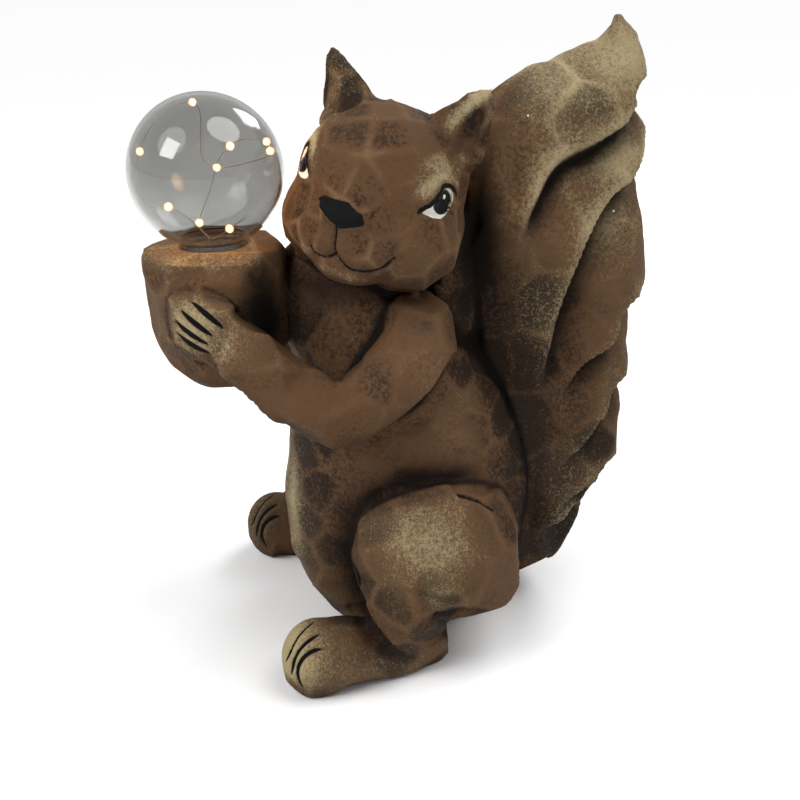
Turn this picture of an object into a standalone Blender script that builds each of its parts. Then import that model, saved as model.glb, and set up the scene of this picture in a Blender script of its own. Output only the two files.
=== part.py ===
"""Squirrel garden statue: a cast squirrel holding a nut, with a closed glass globe standing in the top of the nut."""

import math

import bmesh
import bpy
import numpy as np
from mathutils import Euler, Matrix, Vector

# Named sizes, in metres
STATUE_HEIGHT = 0.340
STATUE_DEPTH = 0.280
STATUE_WIDTH = 0.195
NUT_WIDTH = 0.0775
NUT_HEIGHT = 0.080
GLOBE_DIAMETER = 0.0784
COLLAR_DIAMETER = 0.035
COLLAR_HEIGHT = 0.0042
SOCKET_DEPTH = 0.0025
FIT_GAP = 0.0003

# The figure is laid out on a grid of 34 units of height, 28 of depth and 19.5 of width
GRID = Vector((STATUE_WIDTH / 19.5, STATUE_DEPTH / 28.0, STATUE_HEIGHT / 34.0))
NUT_TOP_SHARE = 23.85 / 34.0

# How the cast skin is worked
CAST_GRAIN = 0.0025
CAST_TRIANGLES = 8600
GLOBE_STEPS = 16
CHISEL_LIMIT = 0.12
CHISEL_SEED = 11

# Trunk: height, centre and half depth front to back, half width
TRUNK = (
    (-0.6, -0.60, 3.2, 3.2),
    (0.0, -0.55, 3.9, 3.8),
    (1.2, -0.30, 5.4, 4.7),
    (3.0, -0.15, 6.6, 5.4),
    (6.0, -0.15, 7.25, 5.9),
    (9.0, 0.05, 7.35, 6.1),
    (12.0, -0.05, 6.75, 6.1),
    (15.0, -0.55, 5.9, 5.7),
    (18.0, -1.60, 4.55, 5.1),
    (20.5, -2.20, 3.6, 4.3),
    (23.5, -2.00, 3.2, 3.3),
)

# Tail: height, front and back edge, half width
TAIL = (
    (0.7, 3.6, 5.6, 1.3),
    (1.3, 3.6, 7.2, 2.2),
    (2.4, 3.8, 8.9, 2.9),
    (4.0, 4.2, 10.3, 3.5),
    (6.5, 4.6, 11.3, 4.0),
    (9.0, 4.8, 12.4, 4.25),
    (13.0, 4.4, 13.1, 4.4),
    (17.0, 3.5, 13.4, 4.4),
    (21.0, 3.1, 13.9, 4.3),
    (25.0, 3.2, 13.9, 4.1),
    (28.0, 4.2, 13.8, 3.3),
    (29.6, 5.6, 13.5, 2.3),
)
TAIL_CREST = ((0.0, 8.9, 28.4), (3.3, 4.9, 3.1))
TAIL_TIP = ((10.6, 29.4, 2.7), (11.7, 30.9, 1.95), (12.5, 32.3, 1.05), (12.4, 33.85, 0.35))

# Edges of the locks cut in the tail, from the back forward: distance back and height
LOCKS = (
    ((14.6, 29.5), (13.2, 29.6), (12.2, 29.4)),
    ((14.6, 28.7), (12.2, 28.8), (9.6, 27.9), (7.6, 27.1), (6.5, 25.6), (5.6, 23.6), (5.0, 20.4)),
    ((14.6, 26.9), (13.2, 26.5), (12.0, 25.9)),
    ((14.6, 26.0), (11.6, 25.6), (10.0, 24.3), (8.8, 22.2), (7.6, 19.2), (6.9, 16.0), (6.7, 14.0)),
    ((14.6, 18.6), (12.1, 18.8), (10.9, 16.9), (9.2, 15.9), (7.6, 13.8)),
    ((14.4, 13.9), (11.6, 13.9), (10.0, 11.8), (7.8, 9.7)),
    ((13.4, 8.0), (11.2, 9.2), (9.6, 8.3), (7.8, 6.9)),
    ((12.2, 6.8), (10.2, 7.4), (8.6, 6.0), (6.9, 5.4)),
)
LOCK_PEAK = 0.45

# Limbs: stations of place and radius, on the squirrel's left; the right side is mirrored
ARM = (
    (4.3, -0.3, 19.3, 2.0),
    (5.5, -0.9, 18.6, 1.9),
    (6.2, -2.9, 17.2, 1.8),
    (6.3, -5.2, 16.2, 1.65),
    (5.7, -7.3, 17.5, 1.6),
    (4.8, -9.4, 19.5, 1.5),
)
SHANK = ((6.8, -1.7, 5.2, 2.8), (6.7, -2.2, 3.3, 2.1), (6.5, -1.6, 1.5, 1.5))
FOOT = ((6.4, -1.2, 1.2, 1.45), (6.4, -3.0, 1.4, 1.8), (6.6, -5.4, 1.85, 2.0), (6.85, -7.2, 1.95, 2.0))

FAR_FOOT_SPREAD = 0.6

# Edge of the thigh, from the shin up and over: distance back and height
THIGH_EDGE = (
    (-3.6, 3.3),
    (-4.3, 4.4),
    (-4.65, 6.0),
    (-4.6, 7.9),
    (-3.9, 9.7),
    (-2.2, 11.0),
    (-0.5, 11.2),
    (1.5, 11.0),
    (4.0, 10.3),
)

# Grooves: distance back and height along each, cut from the side
FINGERS = (
    ((-11.75, 22.3), (-10.35, 21.0)),
    ((-12.4, 21.8), (-11.0, 20.6)),
    ((-12.8, 21.2), (-11.3, 20.1)),
    ((-12.8, 20.5), (-11.3, 19.55)),
)
THIGH_NOTCH = ((0.9, 10.75), (2.0, 10.35), (2.9, 9.7))

# Grooves between the toes: distance out from the middle
TOES = (6.2, 7.05, 7.9)
TOE_START = -7.4

# Mouth: distance left and height in the head's own frame
MOUTH_STEM = ((0.0, -0.8), (0.0, -1.7), (0.0, -2.5))
MOUTH_CURVE = ((0.0, -2.5), (0.8, -2.9), (1.7, -2.8), (2.4, -2.4), (2.8, -1.85))

# Eyes: left and right, in the head's own frame
EYES = ((3.0, -1.9, 0.9), (-2.8, -2.5, 1.0))

# Head: place, then turn, nod and tilt in degrees
HEAD_CENTRE = (2.0, -1.3, 26.1)
HEAD_TURN = 51.6
HEAD_NOD = -5.0
HEAD_TILT = 11.7


def clear_file() -> None:
    """Clear the file that Blender opened."""
    for thing in list(bpy.data.objects):
        bpy.data.objects.remove(thing, do_unlink=True)
    for mesh in list(bpy.data.meshes):
        bpy.data.meshes.remove(mesh)


def catmull(stations, share):
    """Value at a share of the way along a row of stations, on a smooth curve through them."""
    rows = np.asarray(stations, dtype=float)
    place = share * (len(rows) - 1)
    index = min(int(place), len(rows) - 2)
    t = place - index
    before = rows[max(index - 1, 0)]
    start = rows[index]
    end = rows[index + 1]
    after = rows[min(index + 2, len(rows) - 1)]
    return 0.5 * (
        2.0 * start
        + (end - before) * t
        + (2.0 * before - 5.0 * start + 4.0 * end - after) * t * t
        + (3.0 * start - before - 3.0 * end + after) * t**3
    )


class Blanks:
    """Closed overlapping shapes that are cast into one skin."""

    def __init__(self):
        self.points = []
        self.faces = []
        bm = bmesh.new()
        bmesh.ops.create_uvsphere(bm, u_segments=40, v_segments=24, radius=1.0)
        bm.verts.index_update()
        self.round_points = [v.co.copy() for v in bm.verts]
        self.round_faces = [[v.index for v in f.verts] for f in bm.faces]
        bm.free()

    def add(self, points, faces):
        """Add one closed shape."""
        first = len(self.points)
        self.points.extend(points)
        self.faces.extend([first + i for i in face] for face in faces)

    def ball(self, centre, radii, turn=(0.0, 0.0, 0.0), frame=None):
        """Add an ellipsoid, turned in degrees, in the frame given."""
        angles = Euler([math.radians(a) for a in turn])
        place = Matrix.Translation(centre) @ angles.to_matrix().to_4x4() @ Matrix.Diagonal((*radii, 1.0))
        if frame is not None:
            place = frame @ place
        self.add([place @ p for p in self.round_points], self.round_faces)

    def rings(self, rings):
        """Join rings of equal count into a closed loft with flat ends."""
        count = len(rings[0])
        faces = [list(reversed(range(count)))]
        for row in range(len(rings) - 1):
            low = row * count
            high = low + count
            faces.extend([low + i, low + (i + 1) % count, high + (i + 1) % count, high + i] for i in range(count))
        faces.append(list(range((len(rings) - 1) * count, len(rings) * count)))
        self.add([p for ring in rings for p in ring], faces)

    def limb(self, stations, steps=36, frame=None):
        """Add a round limb through stations of place and radius, with rounded ends."""
        points = [catmull(stations, i / steps) for i in range(steps + 1)]
        rings = []
        for i, point in enumerate(points):
            ahead = points[min(i + 1, steps)][:3]
            behind = points[max(i - 1, 0)][:3]
            along = Vector(ahead - behind).normalized()
            side = along.orthogonal().normalized() if not rings else (side - along * side.dot(along)).normalized()
            up = along.cross(side)
            ring = []
            for k in range(28):
                a = 2.0 * math.pi * k / 28
                spot = Vector(point[:3]) + (side * math.cos(a) + up * math.sin(a)) * point[3]
                ring.append(frame @ spot if frame is not None else spot)
            rings.append(ring)
        self.rings(rings)
        for end in (points[0], points[-1]):
            self.ball(tuple(end[:3]), (end[3],) * 3, frame=frame)

    def stack(self, levels, power=2.0, steps=60):
        """Add a loft of upright sections: height, centre, half depth, half width."""
        rings = []
        for i in range(steps + 1):
            height, centre, depth, width = catmull(levels, i / steps)
            ring = []
            for k in range(48):
                a = 2.0 * math.pi * k / 48
                c = math.cos(a)
                s = math.sin(a)
                x = width * math.copysign(abs(c) ** (2.0 / power), c)
                y = centre + depth * math.copysign(abs(s) ** (2.0 / power), s)
                ring.append(Vector((x, y, height)))
            rings.append(ring)
        self.rings(rings)


def head_frame() -> Matrix:
    """Place of the head: its own X to its left, -Y forward, Z up."""
    turn = Matrix.Rotation(math.radians(HEAD_TURN), 4, "Z")
    nod = Matrix.Rotation(math.radians(HEAD_NOD), 4, "X")
    tilt = Matrix.Rotation(math.radians(HEAD_TILT), 4, "Y")
    return Matrix.Translation(HEAD_CENTRE) @ turn @ nod @ tilt


def add_head(blanks) -> None:
    """Skull, cheeks, muzzle, nose, eyes and ears."""
    frame = head_frame()
    blanks.ball((-0.15, 0.0, 0.6), (4.35, 4.2, 4.0), frame=frame)
    blanks.ball((0.0, -2.5, 0.2), (2.3, 2.1, 2.2), (24.0, 0.0, 0.0), frame)
    blanks.ball((0.0, -2.6, -1.4), (2.9, 2.5, 2.3), frame=frame)
    blanks.ball((0.0, -4.75, -0.45), (1.3, 0.6, 0.75), frame=frame)
    blanks.ball((0.0, -3.0, -3.1), (1.9, 1.6, 1.0), frame=frame)
    for side in (-1.0, 1.0):
        blanks.ball((side * 2.0, -0.8, -1.5), (2.8, 3.1, 2.75), frame=frame)
        blanks.ball((side * 1.15, -3.5, -1.9), (1.6, 1.4, 1.35), frame=frame)
        add_ear(blanks, side, frame)
    for centre in EYES:
        blanks.ball(centre, (0.95, 0.95, 1.05), frame=frame)


def add_ear(blanks, side, frame) -> None:
    """A pointed ear, flat in front and rounded behind."""
    rings = []
    for i in range(13):
        t = i / 12
        width = 1.85 * (1.0 - t**2.5) + 0.1
        depth = 1.0 - t**1.5 + 0.1
        out = 2.7 + 1.75 * t - 0.35 * math.sin(math.pi * t)
        centre = Vector((side * out, 0.6 - 0.3 * t, 2.5 + 4.0 * t))
        ring = []
        for k in range(20):
            a = 2.0 * math.pi * k / 20
            ring.append(frame @ (centre + Vector((width * math.cos(a), depth * math.sin(a), 0.0))))
        rings.append(ring)
    blanks.rings(rings)


def add_body(blanks) -> None:
    """Trunk, tail, arms and legs."""
    blanks.stack(TRUNK, 2.1)
    blanks.ball((0.0, -4.6, 20.2), (3.1, 2.6, 3.6))
    blanks.ball((0.0, 2.6, 19.0), (2.8, 2.4, 8.0))
    blanks.stack([(h, (f + b) / 2.0, (b - f) / 2.0, w) for h, f, b, w in TAIL], 2.7)
    blanks.ball(*TAIL_CREST)
    blanks.limb([(0.0, y, z, r) for y, z, r in TAIL_TIP])
    for side in (1.0, -1.0):
        for stations in (ARM, SHANK):
            blanks.limb([(side * s[0],) + tuple(s[1:]) for s in stations])
        far = min(side, 0.0) * FAR_FOOT_SPREAD
        blanks.limb([(side * s[0] + far * i / 3.0,) + tuple(s[1:]) for i, s in enumerate(FOOT)])
        blanks.ball((side * 5.7, 0.05, 7.4), (3.95, 4.7, 3.6))
        blanks.ball((side * 6.0, 1.1, 5.9), (3.5, 3.6, 3.1))
        blanks.ball((side * 6.6, -1.1, 1.7), (1.7, 1.6, 1.5))
        blanks.ball((side * 3.75, -11.1, 20.5), (1.1, 2.25, 1.75), (-42.0, 0.0, side * -28.0))
        blanks.ball((side * 6.9 + far, -7.3, 2.05), (1.95, 2.05, 2.15))


def nut_axis() -> float:
    """Distance forward of the upright axis that the nut and the globe share."""
    return -STATUE_DEPTH / 2.0 + max(GLOBE_DIAMETER, NUT_WIDTH) / 2.0


def add_nut(blanks) -> None:
    """The nut in the paws: a chiselled cup with a flat top and a rounded base."""
    top = NUT_TOP_SHARE * STATUE_HEIGHT
    radius = NUT_WIDTH / 2.0
    centre_y = nut_axis()
    corners = (-104.0, -51.0, 15.0, 58.0, 115.0, 186.0)
    rings = []
    for i in range(19):
        t = i / 18
        height = top - NUT_HEIGHT * (1.0 - t)
        wide = radius * (1.0 - (1.0 - min(t / 0.62, 1.0)) ** 2.4) ** 0.5
        wide = max(wide, 0.02 * radius)
        ring = []
        for k in range(72):
            a = 360.0 * k / 72 - 180.0
            ring.append(nut_point(a, wide, corners, height, centre_y))
        rings.append(ring)
    blanks.rings(rings)


def nut_point(angle, wide, corners, height, centre_y) -> Vector:
    """A point of the nut's outline, between the round and the corners cut on it."""
    turns = sorted((angle - c + 180.0) % 360.0 - 180.0 for c in corners)
    ahead = min(-t for t in turns if t <= 0.0) if any(t <= 0.0 for t in turns) else 360.0 + min(-t for t in turns)
    behind = min(t for t in turns if t >= 0.0) if any(t >= 0.0 for t in turns) else 360.0 + min(turns)
    half = (ahead + behind) / 2.0
    off = behind - half
    flat = math.cos(math.radians(half)) / math.cos(math.radians(off))
    share = 0.35 + 0.65 * flat
    a = math.radians(angle)
    x = wide * share * math.cos(a)
    y = centre_y + wide * share * math.sin(a)
    return Vector((x / GRID.x, y / GRID.y, height / GRID.z))


def cast(blanks, name, pieces):
    """Cast the blanks into one skin of even grain, at real size."""
    mesh = bpy.data.meshes.new(name)
    mesh.from_pydata([Vector((p.x * GRID.x, p.y * GRID.y, p.z * GRID.z)) for p in blanks.points], [], blanks.faces)
    thing = bpy.data.objects.new(name, mesh)
    pieces.objects.link(thing)
    remesh = thing.modifiers.new("Cast", "REMESH")
    remesh.mode = "VOXEL"
    remesh.voxel_size = CAST_GRAIN
    smooth = thing.modifiers.new("Soften", "SMOOTH")
    smooth.factor = 0.5
    smooth.iterations = 5
    return applied(thing)


def applied(thing):
    """Replace an object's mesh by its shape with every modifier worked in."""
    graph = bpy.context.evaluated_depsgraph_get()
    shaped = bpy.data.meshes.new_from_object(thing.evaluated_get(graph))
    thing.modifiers.clear()
    old = thing.data
    thing.data = shaped
    bpy.data.meshes.remove(old)
    return thing


def smoothstep(low, high, value):
    """Ease from 0 at low to 1 at high."""
    t = np.clip((value - low) / (high - low), 0.0, 1.0)
    return t * t * (3.0 - 2.0 * t)


def along_line(flat, line, steps=40):
    """Distance, side and share along a smooth line, for points in its plane."""
    path = np.array([catmull(line, i / steps) for i in range(steps + 1)])
    nearest = np.full(len(flat), 1e9)
    side = np.zeros(len(flat))
    share = np.zeros(len(flat))
    for i in range(steps):
        start = path[i]
        run = path[i + 1] - start
        off = flat - start
        t = np.clip(off @ run / (run @ run), 0.0, 1.0)
        gap = off - t[:, None] * run
        distance = np.hypot(gap[:, 0], gap[:, 1])
        closer = distance < nearest
        nearest = np.where(closer, distance, nearest)
        side = np.where(closer, np.sign(run[0] * off[:, 1] - run[1] * off[:, 0]), side)
        share = np.where(closer, (i + t) / steps, share)
    return nearest, side, share


def lock_relief(points):
    """How far the locks raise or sink the tail's skin."""
    relief = np.zeros(len(points))
    back = smoothstep(11.0, 13.5, points[:, 1])
    flat = points[:, 1:].copy()
    flat[:, 1] -= LOCK_PEAK * back * np.clip(4.2 - np.abs(points[:, 0]), 0.0, 4.2)
    for line in LOCKS:
        distance, side, share = along_line(flat, line)
        fade = (1.0 - smoothstep(0.72, 1.0, share)) * min(len(line) / 5.0, 1.0)
        signed = distance * side
        edge = smoothstep(-0.28, 0.28, signed)
        reach = 0.4 * min(len(line), 5)
        raised = 0.42 * np.exp(-distance / reach) * (1.0 - edge)
        sunk = 0.80 * np.exp(-distance / reach) * edge
        relief += fade * (raised - sunk) * (distance < 6.0)
    return relief * smoothstep(5.0, 6.4, points[:, 1])


def groove(distance, width):
    """Share of a groove's depth at a distance from its line."""
    return np.exp(-((distance / width) ** 2))


def line_relief(points, normals, inside):
    """How far the drawn grooves sink the skin: fingers, toes, thigh and mouth."""
    relief = np.zeros(len(points))
    outward = np.abs(normals[:, 0]) > 0.25
    hand = outward & (points[:, 1] < -10.0) & (np.abs(points[:, 0]) > 2.0) & (points[:, 2] > 18.5)
    for line in FINGERS:
        distance, _, share = along_line(points[:, 1:], line, 8)
        relief -= 0.2 * groove(distance, 0.17) * hand * (1.0 - smoothstep(0.7, 1.0, share))
    distance, _, _ = along_line(points[:, 1:], THIGH_NOTCH, 12)
    relief -= 0.3 * groove(distance, 0.3) * outward * (np.abs(points[:, 0]) > 5.5)
    distance, side, share = along_line(points[:, 1:], THIGH_EDGE)
    above = smoothstep(-0.15, 0.15, distance * side)
    flank = smoothstep(2.0, 4.5, np.abs(points[:, 0])) * (points[:, 2] > 2.0) * (1.0 - smoothstep(0.85, 1.0, share))
    relief += flank * np.exp(-distance) * (0.18 - 0.78 * above)
    reach = np.abs(points[:, 0]) - np.where(points[:, 0] < 0.0, FAR_FOOT_SPREAD, 0.0)
    foot = smoothstep(TOE_START, TOE_START - 0.7, points[:, 1]) * (points[:, 2] < 5.0)
    for out in TOES:
        relief -= 0.2 * groove(reach - out, 0.17) * foot
    face = (inside[:, 1] < -3.0) & (np.abs(inside[:, 0]) < 3.3)
    flat = np.stack([np.abs(inside[:, 0]), inside[:, 2]], 1)
    for line in (MOUTH_STEM, MOUTH_CURVE):
        distance, _, _ = along_line(flat, line, 20)
        relief -= 0.2 * groove(distance, 0.17) * face
    return relief


def chisel_reach(points):
    """Breadth of the chisel cuts over the figure."""
    reach = np.full(len(points), 2.5)
    reach[points[:, 2] > 21.5] = 1.9
    reach[points[:, 1] > 4.5] = 2.9
    reach[points[:, 1] < -9.0] = 2.4
    return reach


def chisel_relief(points, normals):
    """How far the chisel cuts raise the ridges and sink the flats between them."""
    order = np.random.default_rng(CHISEL_SEED).permutation(len(points))[:6000]
    reach = chisel_reach(points)
    seeds = []
    for index in order:
        if not seeds:
            seeds.append(index)
            continue
        gaps = np.linalg.norm(points[seeds] - points[index], axis=1)
        alike = normals[seeds] @ normals[index] > 0.3
        if not np.any((gaps < reach[index] * 0.8) & alike):
            seeds.append(index)
    closest = np.full(len(points), 1e9)
    lift = np.zeros(len(points))
    for seed in seeds:
        off = points[seed] - points
        gap = np.linalg.norm(off, axis=1) / reach[seed]
        near = np.nonzero((gap < 1.3) & (normals @ normals[seed] > 0.4) & (gap < closest))[0]
        core = near[gap[near] < 0.6]
        facing = normals[core].mean(0)
        facing /= np.linalg.norm(facing)
        level = points[core].mean(0) - points[near]
        lift[near] = level @ facing / np.maximum(normals[near] @ facing, 0.5)
        closest[near] = gap[near]
    return np.clip(lift, -CHISEL_LIMIT, CHISEL_LIMIT)


def evened(mesh, values, rounds):
    """Values at the vertices, evened out along the edges."""
    ends = np.empty(len(mesh.edges) * 2, dtype=np.int64)
    mesh.edges.foreach_get("vertices", ends)
    ends = ends.reshape(-1, 2)
    count = np.bincount(ends.ravel(), minlength=len(values))
    for _ in range(rounds):
        total = np.bincount(ends[:, 0], values[ends[:, 1]], len(values))
        total += np.bincount(ends[:, 1], values[ends[:, 0]], len(values))
        values = 0.5 * values + 0.5 * total / np.maximum(count, 1)
    return values


def carve(thing) -> None:
    """Work the locks, the chisel cuts and the grooves into the cast skin."""
    mesh = thing.data
    count = len(mesh.vertices)
    grid = np.array(GRID)
    points = np.empty(count * 3)
    normals = np.empty(count * 3)
    mesh.vertices.foreach_get("co", points)
    mesh.vertices.foreach_get("normal", normals)
    points = points.reshape(-1, 3) / grid
    normals = normals.reshape(-1, 3)
    frame = np.array(head_frame().inverted())
    inside = points @ frame[:3, :3].T + frame[:3, 3]
    plain = smoothstep(1.0, 2.0, np.abs(points[:, 2] - 3.0) + 3.0 * (points[:, 1] > -6.5))
    relief = lock_relief(points) + line_relief(points, normals, inside)
    soft = 1.0 - 0.55 * smoothstep(10.5, 12.5, points[:, 1])
    relief += evened(mesh, chisel_relief(points, normals), 4) * plain * soft
    points = (points + normals * relief[:, None]) * grid
    mesh.vertices.foreach_set("co", points.ravel())
    mesh.update()


def thin(thing, wanted) -> None:
    """Bring the skin down to the triangles wanted."""
    have = sum(len(p.vertices) - 2 for p in thing.data.polygons)
    fewer = thing.modifiers.new("Thin", "DECIMATE")
    fewer.ratio = wanted / have
    fewer.use_collapse_triangulate = True
    applied(thing)


def stand(thing) -> None:
    """Cut the underside flat at the ground and bring the figure to its named sizes."""
    bm = bmesh.new()
    bm.from_mesh(thing.data)
    every = bm.verts[:] + bm.edges[:] + bm.faces[:]
    bmesh.ops.bisect_plane(bm, geom=every, dist=1e-6, plane_co=(0, 0, 0), plane_no=(0, 0, 1), clear_inner=True)
    rim = [e for e in bm.edges if e.is_boundary]
    bmesh.ops.holes_fill(bm, edges=rim, sides=0)
    bmesh.ops.triangulate(bm, faces=bm.faces[:])
    bmesh.ops.recalc_face_normals(bm, faces=bm.faces[:])
    low = [min(v.co[i] for v in bm.verts) for i in range(3)]
    high = [max(v.co[i] for v in bm.verts) for i in range(3)]
    start = (-STATUE_WIDTH / 2.0, low[1], 0.0)
    end = (STATUE_WIDTH / 2.0, STATUE_DEPTH / 2.0, STATUE_HEIGHT)
    for vert in bm.verts:
        for i in range(3):
            share = (vert.co[i] - low[i]) / (high[i] - low[i])
            vert.co[i] = start[i] + share * (end[i] - start[i])
    bm.to_mesh(thing.data)
    bm.free()


def seat_centre() -> Vector:
    """Middle of the socket's floor in the top of the nut."""
    return Vector((0.0, nut_axis(), NUT_TOP_SHARE * STATUE_HEIGHT - SOCKET_DEPTH))


def cut_socket(thing, cutters) -> None:
    """Cut the round socket that the globe's collar stands in."""
    high = 0.02
    mesh = bpy.data.meshes.new("socket_cutter")
    bm = bmesh.new()
    radius = COLLAR_DIAMETER / 2.0 + FIT_GAP
    middle = seat_centre() + Vector((0.0, 0.0, high / 2.0))
    place = Matrix.Translation(middle)
    count = 2 * GLOBE_STEPS
    bmesh.ops.create_cone(bm, cap_ends=True, segments=count, radius1=radius, radius2=radius, depth=high, matrix=place)
    bm.to_mesh(mesh)
    bm.free()
    cutter = bpy.data.objects.new("socket_cutter", mesh)
    cutters.objects.link(cutter)
    cutter.hide_render = True
    cutter.display_type = "WIRE"
    cut = thing.modifiers.new("Socket", "BOOLEAN")
    cut.operation = "DIFFERENCE"
    cut.solver = "EXACT"
    cut.object = cutter


def make_globe(pieces):
    """The closed glass globe and its collar, turned about its axis."""
    radius = GLOBE_DIAMETER / 2.0
    collar = COLLAR_DIAMETER / 2.0
    foot = seat_centre().z + FIT_GAP
    middle = foot + COLLAR_HEIGHT + math.sqrt(radius**2 - collar**2)
    profile = [(0.0, foot), (collar, foot), (collar, foot + COLLAR_HEIGHT)]
    start = math.asin(collar / radius)
    for i in range(1, GLOBE_STEPS + 1):
        a = start + (math.pi - start) * i / GLOBE_STEPS
        profile.append((max(radius * math.sin(a), 0.0), middle - radius * math.cos(a)))
    profile[-1] = (0.0, middle + radius)
    mesh = bpy.data.meshes.new("glass_globe")
    mesh.from_pydata([(r, 0.0, z) for r, z in profile], [(k, k + 1) for k in range(len(profile) - 1)], [])
    globe = bpy.data.objects.new("glass_globe", mesh)
    pieces.objects.link(globe)
    turned = globe.modifiers.new("Turned", "SCREW")
    turned.angle = 2.0 * math.pi
    turned.steps = 2 * GLOBE_STEPS
    turned.render_steps = 2 * GLOBE_STEPS
    turned.use_merge_vertices = True
    turned.merge_threshold = 1e-5
    turned.use_normal_calculate = True
    applied(globe)
    globe.data.transform(Matrix.Translation((0.0, nut_axis(), 0.0)))
    globe.data.shade_smooth()
    globe.data.set_sharp_from_angle(angle=math.radians(40.0))
    return globe


def finish(name, colour, rough, see_through=0.0):
    """A plain material for one piece."""
    material = bpy.data.materials.new(name)
    material.use_nodes = True
    shader = material.node_tree.nodes["Principled BSDF"]
    shader.inputs["Base Color"].default_value = (*colour, 1.0)
    shader.inputs["Roughness"].default_value = rough
    shader.inputs["Transmission Weight"].default_value = see_through
    return material


def main() -> None:
    """Build the statue and the globe."""
    clear_file()
    pieces = bpy.data.collections.new("squirrel_garden_statue")
    cutters = bpy.data.collections.new("cutters")
    bpy.context.scene.collection.children.link(pieces)
    bpy.context.scene.collection.children.link(cutters)
    blanks = Blanks()
    add_body(blanks)
    add_head(blanks)
    add_nut(blanks)
    statue = cast(blanks, "squirrel_statue", pieces)
    carve(statue)
    thin(statue, CAST_TRIANGLES)
    stand(statue)
    cut_socket(statue, cutters)
    statue.data.materials.clear()
    statue.data.materials.append(finish("painted_cast", (0.16, 0.085, 0.05), 0.75))
    globe = make_globe(pieces)
    globe.data.materials.append(finish("clear_glass", (0.95, 0.95, 0.93), 0.05, 1.0))


main()
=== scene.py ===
"""Squirrel garden statue: a cast squirrel that holds a nut with a sealed glass globe of small lights."""

import logging
import math
from collections.abc import Iterator
from contextlib import contextmanager
from dataclasses import dataclass, field
from enum import Enum

import bpy
import numpy as np
from mathutils import Euler, Matrix, Vector


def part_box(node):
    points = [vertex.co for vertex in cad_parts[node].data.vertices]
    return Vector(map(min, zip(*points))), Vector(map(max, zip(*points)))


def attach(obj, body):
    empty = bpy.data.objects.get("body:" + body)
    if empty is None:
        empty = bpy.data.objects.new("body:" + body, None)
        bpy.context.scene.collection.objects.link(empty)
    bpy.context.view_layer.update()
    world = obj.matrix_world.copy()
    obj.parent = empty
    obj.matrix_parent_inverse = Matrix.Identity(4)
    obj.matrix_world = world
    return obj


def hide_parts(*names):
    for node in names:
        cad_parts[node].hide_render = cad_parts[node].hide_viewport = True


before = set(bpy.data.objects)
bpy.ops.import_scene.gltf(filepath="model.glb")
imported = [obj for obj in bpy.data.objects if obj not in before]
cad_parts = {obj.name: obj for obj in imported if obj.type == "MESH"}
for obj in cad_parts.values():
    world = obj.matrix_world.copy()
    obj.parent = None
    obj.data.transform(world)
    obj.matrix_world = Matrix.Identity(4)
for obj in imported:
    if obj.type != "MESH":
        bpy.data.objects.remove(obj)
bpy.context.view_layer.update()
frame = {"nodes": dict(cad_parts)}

LOG = logging.getLogger("squirrel")
Triple = tuple[float, float, float]
Line = tuple[tuple[float, ...], ...]


class Slot(Enum):
    """Material slots of the record."""

    CAST = "painted_cast"
    GLASS = "clear_glass"


class Side(Enum):
    """Sides of the squirrel."""

    LEFT = 1.0
    RIGHT = -1.0


def smoothstep(low: float, high: float, value: np.ndarray) -> np.ndarray:
    """Ease from 0 at low to 1 at high.

    Args:
        low: Value that gives 0.
        high: Value that gives 1.
        value: Values to ease.

    Returns:
        The eased values.
    """
    t = np.clip((value - low) / (high - low), 0.0, 1.0)
    return t * t * (3.0 - 2.0 * t)


def catmull(stations: Line, share: float) -> np.ndarray:
    """Value on a smooth curve through a row of stations.

    Args:
        stations: The rows of numbers that the curve runs through.
        share: Place along the row, from 0 to 1.

    Returns:
        The row of numbers at that place.
    """
    rows = np.asarray(stations, dtype=float)
    place = share * (len(rows) - 1)
    index = min(int(place), len(rows) - 2)
    t = place - index
    before = rows[max(index - 1, 0)]
    start = rows[index]
    end = rows[index + 1]
    after = rows[min(index + 2, len(rows) - 1)]
    return 0.5 * (
        2.0 * start
        + (end - before) * t
        + (2.0 * before - 5.0 * start + 4.0 * end - after) * t * t
        + (3.0 * start - before - 3.0 * end + after) * t**3
    )


def along_line(flat: np.ndarray, line: Line, steps: int = 40) -> tuple[np.ndarray, np.ndarray, np.ndarray]:
    """Place of points beside a smooth line in their plane.

    Args:
        flat: Points in the plane of the line.
        line: Stations of the line.
        steps: Straight runs that stand for the curve.

    Returns:
        Distance from the line, side of it and share of the way along it.
    """
    path = np.array([catmull(line, i / steps) for i in range(steps + 1)])
    nearest = np.full(len(flat), 1e9)
    side = np.zeros(len(flat))
    share = np.zeros(len(flat))
    for i in range(steps):
        run = path[i + 1] - path[i]
        off = flat - path[i]
        t = np.clip(off @ run / (run @ run), 0.0, 1.0)
        gap = off - t[:, None] * run
        distance = np.hypot(gap[:, 0], gap[:, 1])
        closer = distance < nearest
        nearest = np.where(closer, distance, nearest)
        side = np.where(closer, np.sign(run[0] * off[:, 1] - run[1] * off[:, 0]), side)
        share = np.where(closer, (i + t) / steps, share)
    return nearest, side, share


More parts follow.
